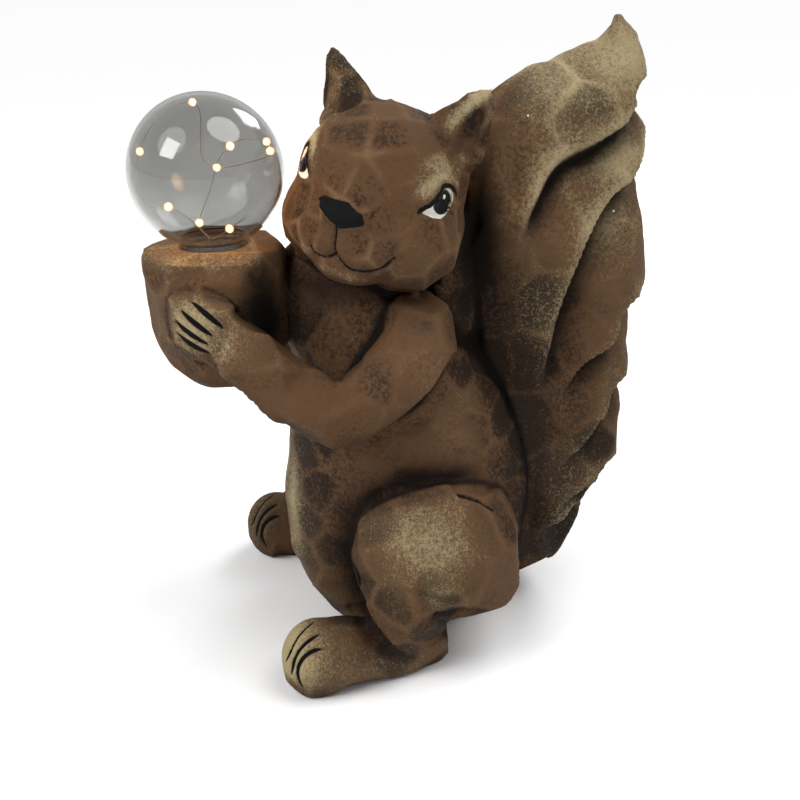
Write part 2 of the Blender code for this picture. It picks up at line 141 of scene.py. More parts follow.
def within(flat: np.ndarray, outline: Line) -> np.ndarray:
    """Depth of points inside a closed outline.

    Args:
        flat: Points in the plane of the outline.
        outline: Corners of the outline.

    Returns:
        Distance from the outline, positive inside it.
    """
    corners = np.asarray(outline, dtype=float)
    nearest = np.full(len(flat), 1e9)
    inside = np.zeros(len(flat), dtype=bool)
    for start, end in zip(corners, np.roll(corners, -1, axis=0)):
        run = end - start
        off = flat - start
        t = np.clip(off @ run / (run @ run), 0.0, 1.0)
        nearest = np.minimum(nearest, np.linalg.norm(off - t[:, None] * run, axis=1))
        crosses = (start[1] > flat[:, 1]) != (end[1] > flat[:, 1])
        rise = end[1] - start[1]
        reach = start[0] + (flat[:, 1] - start[1]) * run[0] / (rise if rise else 1e-9)
        inside ^= crosses & (flat[:, 0] < reach)
    return np.where(inside, nearest, -nearest)


def rounded(edges: np.ndarray, values: np.ndarray, rounds: int) -> np.ndarray:
    """Even values out along the edges of a mesh.

    Args:
        edges: Pairs of vertex numbers.
        values: A value for each vertex.
        rounds: Times that they are evened.

    Returns:
        The evened values.
    """
    count = np.maximum(np.bincount(edges.ravel(), minlength=len(values)), 1)
    for _ in range(rounds):
        total = np.bincount(edges[:, 0], values[edges[:, 1]], len(values))
        total += np.bincount(edges[:, 1], values[edges[:, 0]], len(values))
        values = 0.5 * values + 0.5 * total / count
    return values


def deselect() -> None:
    """Leave nothing selected."""
    bpy.ops.object.select_all(action="DESELECT")


def activate(thing: bpy.types.Object) -> None:
    """Make one object the only one that operators act on.

    Args:
        thing: The object.
    """
    deselect()
    thing.select_set(True)
    bpy.context.view_layer.objects.active = thing


@contextmanager
def edit_mode() -> Iterator[None]:
    """Work on the active object in edit mode.

    Returns:
        A context that goes back to object mode at its end.
    """
    bpy.ops.object.mode_set(mode="EDIT")
    yield
    bpy.ops.object.mode_set(mode="OBJECT")


def apply_modifiers(thing: bpy.types.Object) -> None:
    """Work every modifier of an object into its mesh.

    Args:
        thing: The object.
    """
    activate(thing)
    for modifier in list(thing.modifiers):
        bpy.ops.object.modifier_apply(modifier=modifier.name)


def read_vertices(thing: bpy.types.Object, name: str = "co") -> np.ndarray:
    """Read a vector of every vertex of an object.

    Args:
        thing: The object.
        name: Which vector, such as the place or the normal.

    Returns:
        One row for each vertex.
    """
    values = np.empty(len(thing.data.vertices) * 3)
    thing.data.vertices.foreach_get(name, values)
    return values.reshape(-1, 3)


def set_material(thing: bpy.types.Object, material: bpy.types.Material) -> None:
    """Give an object one material."""
    thing.data.materials.clear()
    thing.data.materials.append(material)


@dataclass(frozen=True)
class Zone:
    """A soft patch of paint on the figure, in grid units."""

    centre: Triple
    size: Triple
    strength: float

    def cover(self, points: np.ndarray) -> np.ndarray:
        """How much of the paint each point gets.

        Args:
            points: Points of the figure.

        Returns:
            The strength at the centre, fading out over the size.
        """
        off = (points - self.centre) / self.size
        return self.strength * np.exp(-np.einsum("ij,ij->i", off, off))


Zones = tuple[Zone, ...]


def boxed(points: np.ndarray, box: tuple[float, ...]) -> np.ndarray:
    """Pick the points inside a box that is mirrored in X.

    Args:
        points: Points to pick from.
        box: Least and greatest distance from the middle, then least and greatest Y and Z.

    Returns:
        True for each point inside.
    """
    across = np.abs(points[:, 0])
    picked = (across > box[0]) & (across < box[1])
    for axis in (1, 2):
        picked &= (points[:, axis] > box[2 * axis]) & (points[:, axis] < box[2 * axis + 1])
    return picked


@dataclass
class Blanks:
    """Closed overlapping shapes on the figure's grid, joined into one object."""

    grid: Vector
    shapes: list[bpy.types.Object] = field(default_factory=list)

    def ball(
        self,
        centre: Triple,
        radii: Triple,
        turn: Triple = (0.0, 0.0, 0.0),
        place: Matrix | None = None,
    ) -> None:
        """Add an ellipsoid.

        Args:
            centre: Middle, in grid units.
            radii: Half sizes, in grid units.
            turn: Turn about X, Y and Z, in degrees.
            place: Frame that the ellipsoid is placed in.
        """
        bpy.ops.mesh.primitive_uv_sphere_add(segments=40, ring_count=24, radius=1.0)
        shape = bpy.context.object
        angles = Euler([math.radians(a) for a in turn])
        matrix = Matrix.Translation(centre) @ angles.to_matrix().to_4x4() @ Matrix.Diagonal((*radii, 1.0))
        shape.data.transform((place or Matrix.Identity(4)) @ matrix)
        self.shapes.append(shape)

    def one_of_pair(
        self, ball: tuple[Triple, ...], side: Side, spread: float = 0.0, place: Matrix | None = None
    ) -> None:
        """Add one ellipsoid of a pair.

        Args:
            ball: Middle, half sizes and any turn of the left one.
            side: Which one to add.
            spread: Extra distance to the left.
            place: Frame that the ellipsoid is placed in.
        """
        (x, y, z), radii, *turns = ball
        nod, tilt, turn = turns[0] if turns else (0.0, 0.0, 0.0)
        s = side.value
        self.ball((s * x + spread, y, z), radii, (nod, s * tilt, s * turn), place)

    def loft(self, rings: np.ndarray) -> None:
        """Extrude a disc through rings of points.

        Args:
            rings: Points of each ring, from one end to the other, in grid units.
        """
        levels, count = rings.shape[:2]
        bpy.ops.mesh.primitive_circle_add(vertices=count, radius=1.0, fill_type="NGON")
        shape = bpy.context.object
        with edit_mode():
            for _ in range(levels - 1):
                bpy.ops.mesh.extrude_region_move(TRANSFORM_OT_translate={"value": (0.0, 0.0, 1.0)})
        for vertex in shape.data.vertices:
            turn = math.atan2(vertex.co.y, vertex.co.x) / (2.0 * math.pi) * count
            vertex.co = rings[round(vertex.co.z), round(turn) % count]
        self.shapes.append(shape)

    def limb(self, stations: Line, steps: int = 30) -> None:
        """Add a round limb with rounded ends.

        Args:
            stations: Rows of place and radius.
            steps: Rings along the limb.
        """
        points = [catmull(stations, i / steps) for i in range(steps + 1)]
        angles = 2.0 * math.pi * np.arange(28) / 28
        rings = []
        side = Vector()
        for i, point in enumerate(points):
            along = Vector(points[min(i + 1, steps)][:3] - points[max(i - 1, 0)][:3]).normalized()
            side = (side - along * side.dot(along)).normalized() if rings else along.orthogonal().normalized()
            up = along.cross(side)
            ring = np.outer(np.cos(angles), side) + np.outer(np.sin(angles), up)
            rings.append(point[:3] + ring * point[3])
        self.loft(np.array(rings))
        for end in (points[0], points[-1]):
            self.ball(tuple(end[:3]), (end[3],) * 3)

    def stack(self, levels: Line, power: float, steps: int = 56) -> None:
        """Add a loft of upright sections.

        Args:
            levels: Rows of height, centre, half depth and half width.
            power: How square the sections are, from 2 for an ellipse.
            steps: Sections in the loft.
        """
        angles = 2.0 * math.pi * np.arange(48) / 48
        across = np.copysign(np.abs(np.cos(angles)) ** (2.0 / power), np.cos(angles))
        deep = np.copysign(np.abs(np.sin(angles)) ** (2.0 / power), np.sin(angles))
        rings = []
        for i in range(steps + 1):
            height, centre, depth, width = catmull(levels, i / steps)
            rings.append(np.stack([width * across, centre + depth * deep, np.full(48, height)], 1))
        self.loft(np.array(rings))

    def joined(self, name: str) -> bpy.types.Object:
        """Join the shapes into one object at real size.

        Args:
            name: Name of the new object.

        Returns:
            The joined object.
        """
        deselect()
        for shape in self.shapes:
            shape.select_set(True)
        bpy.context.view_layer.objects.active = self.shapes[0]
        bpy.ops.object.join()
        whole = bpy.context.object
        whole.name = name
        whole.data.name = name
        whole.data.transform(Matrix.Diagonal((*self.grid, 1.0)))
        return whole


@dataclass
class Head:
    """The head, turned to the squirrel's left, with its ears and face.

    The lines of the face are drawn from the front, as distance to the left and height. Both eyes have
    one outline, and each row of eye_planes gives the shares of X and Y, the shift and the lift that
    bring the skin beside an eye into its plane.
    """

    centre: Triple = (2.0, -1.3, 26.1)
    turn: float = 51.6
    nod: float = -5.0
    tilt: float = 11.7
    skull: tuple[Triple, ...] = ((-0.15, 0.0, 0.6), (4.35, 4.2, 4.0))
    bridge: tuple[Triple, ...] = ((0.0, -2.5, 0.2), (2.3, 2.1, 2.2), (24.0, 0.0, 0.0))
    muzzle: tuple[Triple, ...] = ((0.0, -2.6, -1.4), (2.9, 2.5, 2.3))
    nose_tip: tuple[Triple, ...] = ((0.0, -4.75, -0.45), (1.3, 0.6, 0.75))
    chin: tuple[Triple, ...] = ((0.0, -3.0, -3.1), (1.9, 1.6, 1.0))
    cheek: tuple[Triple, ...] = ((2.0, -0.8, -1.5), (2.8, 3.1, 2.75))
    lip: tuple[Triple, ...] = ((1.15, -3.5, -1.9), (1.6, 1.4, 1.35))
    eyes: Line = ((3.0, -1.9, 0.9), (-2.8, -2.5, 1.0))
    eye_radii: Triple = (0.95, 0.95, 1.05)
    ear_root: Triple = (2.7, 0.6, 2.5)
    ear_lean: Triple = (1.75, -0.3, 4.0)
    ear_bend: float = 0.35
    nose: Line = (
        (-1.56, -0.06),
        (-1.13, 0.24),
        (0.27, 0.31),
        (1.03, -0.07),
        (1.25, -0.44),
        (0.17, -0.82),
        (-0.73, -0.3),
    )
    mouth: tuple[Line, ...] = (
        ((-0.05, -0.8), (-0.05, -1.7), (-0.08, -2.5)),
        ((-1.45, -2.3), (-1.13, -2.65), (-0.56, -2.71), (-0.08, -2.48)),
        ((-0.05, -2.5), (0.74, -2.9), (1.29, -2.91), (1.83, -2.76), (2.4, -2.43), (2.78, -1.85)),
    )
    chin_edge: Line = (
        (-1.86, -2.55),
        (-1.06, -2.98),
        (0.25, -3.2),
        (1.63, -3.15),
        (2.46, -2.8),
        (2.89, -2.4),
    )
    eye: Line = (
        (-2.78, 0.38),
        (-2.6, 0.78),
        (-2.35, 1.15),
        (-2.0, 1.46),
        (-1.6, 1.60),
        (-1.25, 1.52),
        (-1.02, 1.28),
        (-0.98, 0.98),
        (-1.15, 0.62),
        (-1.55, 0.32),
        (-2.0, 0.16),
        (-2.45, 0.2),
    )
    lid: Line = (
        (-2.92, 0.3),
        (-2.66, 0.82),
        (-2.38, 1.22),
        (-2.0, 1.54),
        (-1.58, 1.68),
        (-1.16, 1.58),
        (-0.88, 1.3),
        (-0.82, 1.0),
    )
    iris: tuple[float, float] = (-1.78, 0.95)
    iris_size: tuple[float, float] = (0.74, 0.62)
    eye_planes: Line = ((0.0, 1.0, 0.0, 0.0), (-0.913, 0.616, -3.083, 0.25))
    brushed: Zones = (
        Zone((3.6, -1.4, 2.5), (1.0, 1.6, 0.8), 0.8),
        Zone((-3.9, -1.6, 2.6), (0.8, 1.6, 1.6), 0.6),
    )

    def place(self) -> Matrix:
        """Frame of the head: X to its left, -Y forward, Z up.

        Returns:
            The frame's place on the figure's grid.
        """
        turn = Matrix.Rotation(math.radians(self.turn), 4, "Z")
        nod = Matrix.Rotation(math.radians(self.nod), 4, "X")
        tilt = Matrix.Rotation(math.radians(self.tilt), 4, "Y")
        return Matrix.Translation(self.centre) @ turn @ nod @ tilt

    def turned(self, vectors: np.ndarray, shift: float = 1.0) -> np.ndarray:
        """Turn vectors into the head's own frame.

        Args:
            vectors: Places on the figure's grid, or directions.
            shift: 1 for places and 0 for directions.

        Returns:
            The turned vectors.
        """
        place = np.array(self.place().inverted())
        return vectors @ place[:3, :3].T + shift * place[:3, 3]

    def model(self, blanks: Blanks) -> None:
        """Add the skull, muzzle, cheeks, eyes and ears.

        Args:
            blanks: The shapes that the figure is cast from.
        """
        place = self.place()
        for shape in (self.skull, self.bridge, self.muzzle, self.nose_tip, self.chin):
            blanks.ball(*shape, place=place)
        for side, eye in zip(Side, self.eyes):
            blanks.one_of_pair(self.cheek, side, place=place)
            blanks.one_of_pair(self.lip, side, place=place)
            blanks.ball(eye, self.eye_radii, place=place)
            self.ear(blanks, side)

    def ear_line(self, share: np.ndarray) -> tuple[np.ndarray, np.ndarray]:
        """Middle of an ear at shares of its height.

        Args:
            share: Shares of the height, from 0 at the skull to 1 at the tip.

        Returns:
            Distance outward from the head's middle, and Y.
        """
        bend = self.ear_bend * np.sin(math.pi * np.clip(share, 0.0, 1.0))
        return self.ear_root[0] + self.ear_lean[0] * share - bend, self.ear_root[1] + self.ear_lean[1] * share

    def ear(self, blanks: Blanks, side: Side) -> None:
        """Add a pointed ear.

        Args:
            blanks: The shapes that the figure is cast from.
            side: Which ear.
        """
        place = self.place()
        levels, count = 12, 20
        rings = []
        for i in range(levels + 1):
            t = i / levels
            out, along = self.ear_line(t)
            middle = Vector((side.value * out, along, self.ear_root[2] + self.ear_lean[2] * t))
            width = 1.85 * (1.0 - t**2.5) + 0.1
            depth = 1.0 - t**1.5 + 0.1
            ring = []
            for k in range(count):
                a = 2.0 * math.pi * k / count
                ring.append(place @ (middle + Vector((width * math.cos(a), depth * math.sin(a), 0.0))))
            rings.append(ring)
        blanks.loft(np.array(rings))


@dataclass
class Body:
    """Trunk, tail, arms and legs, in grid units.

    Rows of the trunk hold height, centre, half depth and half width, and rows of the tail height,
    front, back and half width. Rows of limbs hold a place and a radius, and rows of toes the groove's
    X behind and ahead and its least height. Other lines are drawn from the side, as Y and height.
    """

    trunk: Line = (
        (-0.6, -0.60, 3.2, 3.2),
        (0.0, -0.55, 3.9, 3.8),
        (1.2, -0.30, 5.4, 4.7),
        (3.0, -0.15, 6.6, 5.4),
        (6.0, -0.15, 7.25, 5.9),
        (9.0, 0.05, 7.35, 6.1),
        (12.0, -0.05, 6.75, 6.1),
        (15.0, -0.55, 5.9, 5.7),
        (18.0, -1.60, 4.55, 5.1),
        (20.5, -2.20, 3.6, 4.3),
        (23.5, -2.00, 3.2, 3.3),
    )
    tail: Line = (
        (0.7, 3.6, 5.6, 1.3),
        (1.3, 3.6, 7.2, 2.2),
        (2.4, 3.8, 8.9, 2.9),
        (4.0, 4.2, 10.3, 3.5),
        (6.5, 4.6, 11.3, 4.0),
        (9.0, 4.8, 12.4, 4.25),
        (13.0, 4.4, 13.1, 4.4),
        (17.0, 3.5, 13.4, 4.4),
        (21.0, 3.1, 13.9, 4.3),
        (25.0, 3.2, 13.9, 4.1),
        (28.0, 4.2, 13.8, 3.3),
        (29.6, 5.6, 13.5, 2.3),
    )
    tail_tip: Line = (
        (0.0, 10.6, 29.4, 2.7),
        (0.0, 11.7, 30.9, 1.95),
        (0.0, 12.5, 32.3, 1.05),
        (0.0, 12.4, 33.85, 0.35),
    )
    locks: tuple[Line, ...] = (
        ((14.6, 29.5), (13.2, 29.6), (12.2, 29.4)),
        ((14.6, 28.7), (12.2, 28.8), (9.6, 27.9), (7.6, 27.1), (6.5, 25.6), (5.6, 23.6), (5.0, 20.4)),
        ((14.6, 26.9), (13.2, 26.5), (12.0, 25.9)),
        ((14.6, 26.0), (11.6, 25.6), (10.0, 24.3), (8.8, 22.2), (7.6, 19.2), (6.9, 16.0), (6.7, 14.0)),
        ((14.6, 18.6), (12.1, 18.8), (10.9, 16.9), (9.2, 15.9), (7.6, 13.8)),
        ((14.4, 13.9), (11.6, 13.9), (10.0, 11.8), (7.8, 9.7)),
        ((13.4, 8.0), (11.2, 9.2), (9.6, 8.3), (7.8, 6.9)),
        ((12.2, 6.8), (10.2, 7.4), (8.6, 6.0), (6.9, 5.4)),
    )
    lock_peak: float = 0.45
    chest: tuple[Triple, ...] = ((0.0, -4.6, 20.2), (3.1, 2.6, 3.6))
    spine: tuple[Triple, ...] = ((0.0, 2.6, 19.0), (2.8, 2.4, 8.0))
    tail_crest: tuple[Triple, ...] = ((0.0, 8.9, 28.4), (3.3, 4.9, 3.1))
    haunch: tuple[Triple, ...] = ((5.7, 0.05, 7.4), (3.95, 4.7, 3.6))
    rump: tuple[Triple, ...] = ((6.0, 1.1, 5.9), (3.5, 3.6, 3.1))
    heel: tuple[Triple, ...] = ((6.6, -1.1, 1.7), (1.7, 1.6, 1.5))
    paw: tuple[Triple, ...] = ((3.75, -11.1, 20.5), (1.1, 2.25, 1.75), (-42.0, 0.0, -28.0))
    toe_ball: tuple[Triple, ...] = ((6.9, -7.3, 2.05), (1.95, 2.05, 2.15))
    arm: Line = (
        (4.3, -0.3, 19.3, 2.0),
        (5.5, -0.9, 18.6, 1.9),
        (6.2, -2.9, 17.2, 1.8),
        (6.3, -5.2, 16.2, 1.65),
        (5.7, -7.3, 17.5, 1.6),
        (4.8, -9.4, 19.5, 1.5),
    )
    shank: Line = ((6.8, -1.7, 5.2, 2.8), (6.7, -2.2, 3.3, 2.1), (6.5, -1.6, 1.5, 1.5))
    foot: Line = (
        (6.4, -1.2, 1.2, 1.45),
        (6.4, -3.0, 1.4, 1.8),
        (6.6, -5.4, 1.85, 2.0),
        (6.85, -7.2, 1.95, 2.0),
    )
    thigh: Line = (
        (-3.6, 3.3),
        (-4.3, 4.4),
        (-4.65, 6.0),
        (-4.6, 7.9),
        (-3.9, 9.7),
        (-2.2, 11.0),
        (-0.5, 11.2),
        (1.5, 11.0),
        (4.0, 10.3),
    )
    far_foot_spread: float = 0.6
    fingers: tuple[Line, ...] = (
        ((-11.75, 22.3), (-10.35, 21.0)),
        ((-12.4, 21.8), (-11.0, 20.6)),
        ((-12.8, 21.2), (-11.3, 20.1)),
        ((-12.8, 20.5), (-11.3, 19.55)),
    )
    thigh_notch: Line = ((0.9, 10.75), (2.0, 10.35), (2.9, 9.7))
    hock: tuple[Line, ...] = (
        ((-0.1, 3.4), (-0.6, 4.1), (-1.1, 5.0)),
        ((-1.0, 4.9), (0.0, 4.75), (1.2, 5.0)),
    )
    toes: Line = ((6.35, 7.4, 2.5), (7.6, 7.9, 1.95), (8.3, 8.2, 1.2))
    toe_start: float = -7.1
    brushed: Zones = (
        Zone((7.8, -1.0, 8.8), (3.0, 3.0, 2.4), 0.72),
        Zone((8.5, -0.8, 6.6), (2.0, 1.3, 1.6), 0.6),
        Zone((5.5, -3.2, 8.5), (2.0, 1.4, 3.0), 0.5),
        Zone((2.0, 12.4, 32.0), (4.0, 2.5, 2.5), 0.9),
        Zone((3.5, 11.5, 27.0), (3.0, 2.5, 2.0), 0.6),
        Zone((4.0, 10.5, 23.5), (2.0, 2.0, 3.0), 0.4),
        Zone((5.0, -11.9, 21.0), (2.5, 1.8, 1.8), 0.95),
        Zone((7.0, -8.8, 2.8), (2.6, 1.5, 1.8), 0.95),
        Zone((1.0, -7.2, 9.0), (1.2, 1.2, 4.0), 0.55),
    )
    # Painted shadows where parts shade each other, and on the far foot.
    painted_shade_zones: Zones = (
        Zone((3.0, -8.2, 20.5), (2.2, 1.5, 3.0), 0.8),
        Zone((2.5, -4.5, 21.8), (4.0, 3.5, 1.3), 0.6),
        Zone((3.0, 3.4, 23.0), (2.5, 1.3, 4.0), 0.9),
        Zone((5.2, -2.5, 5.0), (1.2, 3.5, 4.0), 0.6),
        Zone((4.0, 10.0, 3.0), (5.0, 4.0, 3.0), 0.6),
        Zone((-7.0, -8.5, 2.5), (3.5, 3.0, 2.6), 0.4),
    )
    # Painted shade where a zone's strength is positive, painted light where it is negative.
    painted_light_and_shade_zones: Zones = (
        Zone((2.0, -6.3, 10.5), (3.0, 3.0, 4.5), 0.9),
        Zone((3.0, 4.6, 19.0), (3.5, 2.6, 8.0), 1.0),
        Zone((4.5, 9.0, 7.0), (3.5, 5.0, 6.0), 1.0),
        Zone((7.0, 1.0, 4.0), (3.0, 4.0, 2.6), 0.5),
        Zone((7.5, -3.5, 5.5), (2.5, 1.5, 2.5), 0.3),
        Zone((6.0, -1.0, 18.5), (2.4, 2.0, 2.0), -0.8),
        Zone((6.8, 2.0, 13.0), (2.4, 2.6, 2.8), -0.9),
        Zone((4.0, 5.8, 26.5), (3.0, 2.6, 3.5), -0.9),
        Zone((4.0, 10.5, 21.0), (3.0, 2.6, 4.0), -0.5),
        Zone((3.5, 5.5, 25.5), (2.5, 2.4, 3.5), -0.9),
        Zone((5.0, 8.6, 15.5), (2.5, 2.0, 3.0), 0.5),
        Zone((6.0, -5.1, 15.6), (2.2, 1.8, 1.6), 0.5),
    )

    def model(self, blanks: Blanks) -> None:
        """Add the trunk, the tail and the limbs.

        Args:
            blanks: The shapes that the figure is cast from.
        """
        blanks.stack(self.trunk, 2.1)
        blanks.ball(*self.chest)
        blanks.ball(*self.spine)
        blanks.stack(tuple((h, (f + b) / 2.0, (b - f) / 2.0, w) for h, f, b, w in self.tail), 2.7)
        blanks.ball(*self.tail_crest)
        blanks.limb(self.tail_tip)
        for side in Side:
            s = side.value
            far = min(s, 0.0) * self.far_foot_spread
            blanks.limb(tuple((s * x, y, z, r) for x, y, z, r in self.arm))
            blanks.limb(tuple((s * x, y, z, r) for x, y, z, r in self.shank))
            last = len(self.foot) - 1
            blanks.limb(tuple((s * x + far * i / last, y, z, r) for i, (x, y, z, r) in enumerate(self.foot)))
            for shape in (self.haunch, self.rump, self.heel, self.paw):
                blanks.one_of_pair(shape, side)
            blanks.one_of_pair(self.toe_ball, side, far)


@dataclass
class Nut:
    """The nut in the paws: a chiselled cup with a flat top and a rounded base."""

    top: float
    radius: float
    axis: float
    height: float = 0.080
    roundness: float = 0.12
    shoulder: float = 0.62
    bulge: float = 2.4
    corners: tuple[float, ...] = (-104.0, -51.0, 15.0, 58.0, 115.0, 186.0)

    def outline(self, angle: float) -> float:
        """Share of the radius at an angle, between the round and the corners cut on it.

        Args:
            angle: Direction from the axis, in degrees.

        Returns:
            The share.
        """
        turns = [(angle - c) % 360.0 for c in self.corners]
        behind = min(turns)
        ahead = 360.0 - max(turns)
        half = (ahead + behind) / 2.0
        flat = math.cos(math.radians(half)) / math.cos(math.radians(behind - half))
        return self.roundness + (1.0 - self.roundness) * flat

    def model(self, blanks: Blanks) -> None:
        """Add the nut.

        Args:
            blanks: The shapes that the figure is cast from.
        """
        levels, count = 18, 72
        rings = []
        for i in range(levels + 1):
            t = i / levels
            wide = self.radius * (1.0 - (1.0 - min(t / self.shoulder, 1.0)) ** self.bulge) ** 0.5
            wide = max(wide, 0.02 * self.radius)
            ring = []
            for k in range(count):
                angle = 360.0 * k / count
                reach = wide * self.outline(angle)
                x = reach * math.cos(math.radians(angle)) / blanks.grid.x
                y = (self.axis + reach * math.sin(math.radians(angle))) / blanks.grid.y
                ring.append((x, y, (self.top - self.height * (1.0 - t)) / blanks.grid.z))
            rings.append(ring)
        blanks.loft(np.array(rings))


@dataclass
class Carving:
    """Relief and paint fields over the cast skin, in grid units.

    A groove's two numbers are its depth and the half width of its black line. The fields ink, white,
    iris, rim and painted_eye_glint are distances inside a painted shape, and the others are shares of a
    paint; painted_shade is painted shade in the creases, hollows and undersides, and painted_light_and_shade
    darkens with painted shade above 0 and lightens with painted light below 0.
    """

    points: np.ndarray
    normals: np.ndarray
    edges: np.ndarray
    head: Head
    body: Body
    nut: Nut
    grid: Vector
    lock_raise: float = 0.5
    lock_sink: float = 1.0
    finger_depth: float = 0.3
    toe_groove: tuple[float, float] = (0.28, 0.125)
    notch_groove: tuple[float, float] = (0.25, 0.05)
    mouth_groove: tuple[float, float] = (0.16, 0.06)
    ear_hollow: float = 0.42
    ear_turns: tuple[float, float] = (0.64, 0.2)
    chisel_limit: float = 0.26
    chisel_seed: int = 11
    chisel_tries: int = 6000
    ridge_width: float = 0.25
    body_cut: float = 2.3
    head_cut: float = 1.65
    tail_cut: float = 2.9
    nut_cut: float = 2.4

    def __post_init__(self) -> None:
        """Work out the places in the head's own frame and empty the fields."""
        self.inside = self.head.turned(self.points)
        self.facing = self.head.turned(self.normals, 0.0)
        count = len(self.points)
        self.relief = np.zeros(count)
        self.ink = np.full(count, -1.0)
        self.gold = np.zeros(count)
        # Painted shade: darker colour in the creases and hollows, on the undersides and where parts shade
        # each other.
        self.painted_shade = np.zeros(count)
        self.ridge = np.zeros(count)
        self.tone = np.full(count, 0.5)
        # Painted shade above 0 and painted light below 0.
        self.painted_light_and_shade = np.zeros(count)
        self.high = np.zeros(count)
        self.soft = 1.0 - 0.55 * smoothstep(10.5, 12.5, self.points[:, 1])
        self.white = np.full(count, -1.0)
        self.iris = np.full(count, -1.0)
        self.rim = np.full(count, -1.0)
        # Painted highlight on each eye.
        self.painted_eye_glint = np.full(count, -1.0)

    def keep(self, name: str, values: np.ndarray) -> None:
        """Raise a field to the values that are greater."""
        setattr(self, name, np.maximum(getattr(self, name), values))

    def groove(self, distance: np.ndarray, where: np.ndarray, depth: float, width: float) -> None:
        """Cut a rounded groove and paint it black.

        Args:
            distance: Distance from the groove's line.
            where: Share of the groove that each place gets.
            depth: Depth of the groove.
            width: Half width of the paint.
        """
        self.relief -= depth * np.exp(-((distance / (1.3 * width)) ** 2)) * where
        self.keep("ink", np.where(where > 0.1, width * np.sqrt(where) - distance, -1.0))

    def carve_locks(self) -> None:
        """Step the tail's skin down below each lock's edge, with the edge brushed gold and painted shade
        under it.
        """
        y = self.points[:, 1]
        back = smoothstep(11.0, 13.5, y)
        flat = self.points[:, 1:].copy()
        flat[:, 1] -= self.body.lock_peak * back * np.clip(4.2 - np.abs(self.points[:, 0]), 0.0, 4.2)
        root = smoothstep(5.0, 6.4, y)
        for line in self.body.locks:
            distance, side, share = along_line(flat, line)
            fade = (1.0 - smoothstep(0.72, 1.0, share)) * min(len(line) / 5.0, 1.0)
            edge = smoothstep(-0.28, 0.28, distance * side)
            near = distance < 6.0
            reach = 0.4 * min(len(line), 5)
            raised = self.lock_raise * np.exp(-distance / reach) * (1.0 - edge)
            sunk = self.lock_sink * np.exp(-distance / reach) * edge
            self.relief += fade * (raised - sunk) * near * root
            shown = (1.0 - smoothstep(0.7, 1.0, share)) * near * root
            brushed = smoothstep(14.0, 27.0, self.points[:, 2])
            self.keep("gold", (0.42 + 0.58 * brushed) * np.exp(-distance / 0.8) * (1.0 - edge) * shown)
            # Painted shade under each lock's overhanging edge.
            shade = 0.7 * np.exp(-distance / 0.45) + 0.5 * np.exp(-distance / 1.4)
            self.keep("painted_shade", shade * edge * shown)

    def carve_grooves(self) -> None:
        """Cut and blacken the lines between the fingers and toes and under the thigh, and lay painted shade
        in the creases at the thigh and the hock.
        """
        x, y, z = self.points.T
        outward = np.abs(self.normals[:, 0]) > 0.25
        hand = (outward & (y < -10.0) & (np.abs(x) > 2.0) & (z > 18.5)).astype(float)
        for line in self.body.fingers:
            distance, _, share = along_line(self.points[:, 1:], line, 8)
            taper = 0.05 + 0.11 * np.sin(math.pi * np.clip(share, 0.0, 1.0))
            self.relief -= self.finger_depth * np.exp(-((distance / 0.2) ** 2)) * hand
            self.keep("ink", np.where(hand > 0.5, taper - distance, -1.0))
        distance, _, _ = along_line(self.points[:, 1:], self.body.thigh_notch, 12)
        self.groove(distance, (outward & (np.abs(x) > 5.5)).astype(float), *self.notch_groove)
        distance, side, share = along_line(self.points[:, 1:], self.body.thigh, 40)
        above = smoothstep(-0.15, 0.15, distance * side)
        flank = smoothstep(2.0, 4.5, np.abs(x)) * (z > 2.0) * (1.0 - smoothstep(0.85, 1.0, share))
        self.relief += flank * np.exp(-distance) * (0.18 * (1.0 - above) - 0.6 * above)
        # Painted shade in the crease where the belly hangs over the thigh.
        self.keep("painted_shade", 0.85 * flank * np.exp(-distance / 1.1) * above)
        for line in self.body.hock:
            distance, _, share = along_line(self.points[:, 1:], line, 12)
            crease = np.exp(-distance / 0.45) * (np.abs(x) > 5.0) * outward * (1.0 - 0.7 * share)
            self.relief -= 0.5 * crease
            # Painted shade in the hock's creases.
            self.keep("painted_shade", 0.9 * crease)
        reach = np.where(x < 0.0, 2.0 * self.body.foot[-1][0] + x + self.body.far_foot_spread, x)
        lean = np.sqrt(np.clip(1.0 - self.normals[:, 0] ** 2, 0.1, 1.0))
        start = self.body.toe_start
        for behind, ahead, low in self.body.toes:
            out = behind + (ahead - behind) * np.clip((start - y) / 1.8, 0.0, 1.0)
            foot = smoothstep(start, start - 0.7, y) * (z < 5.0) * smoothstep(low - 0.3, low + 0.6, z)
            self.groove(np.abs(reach - out) / lean, foot, *self.toe_groove)

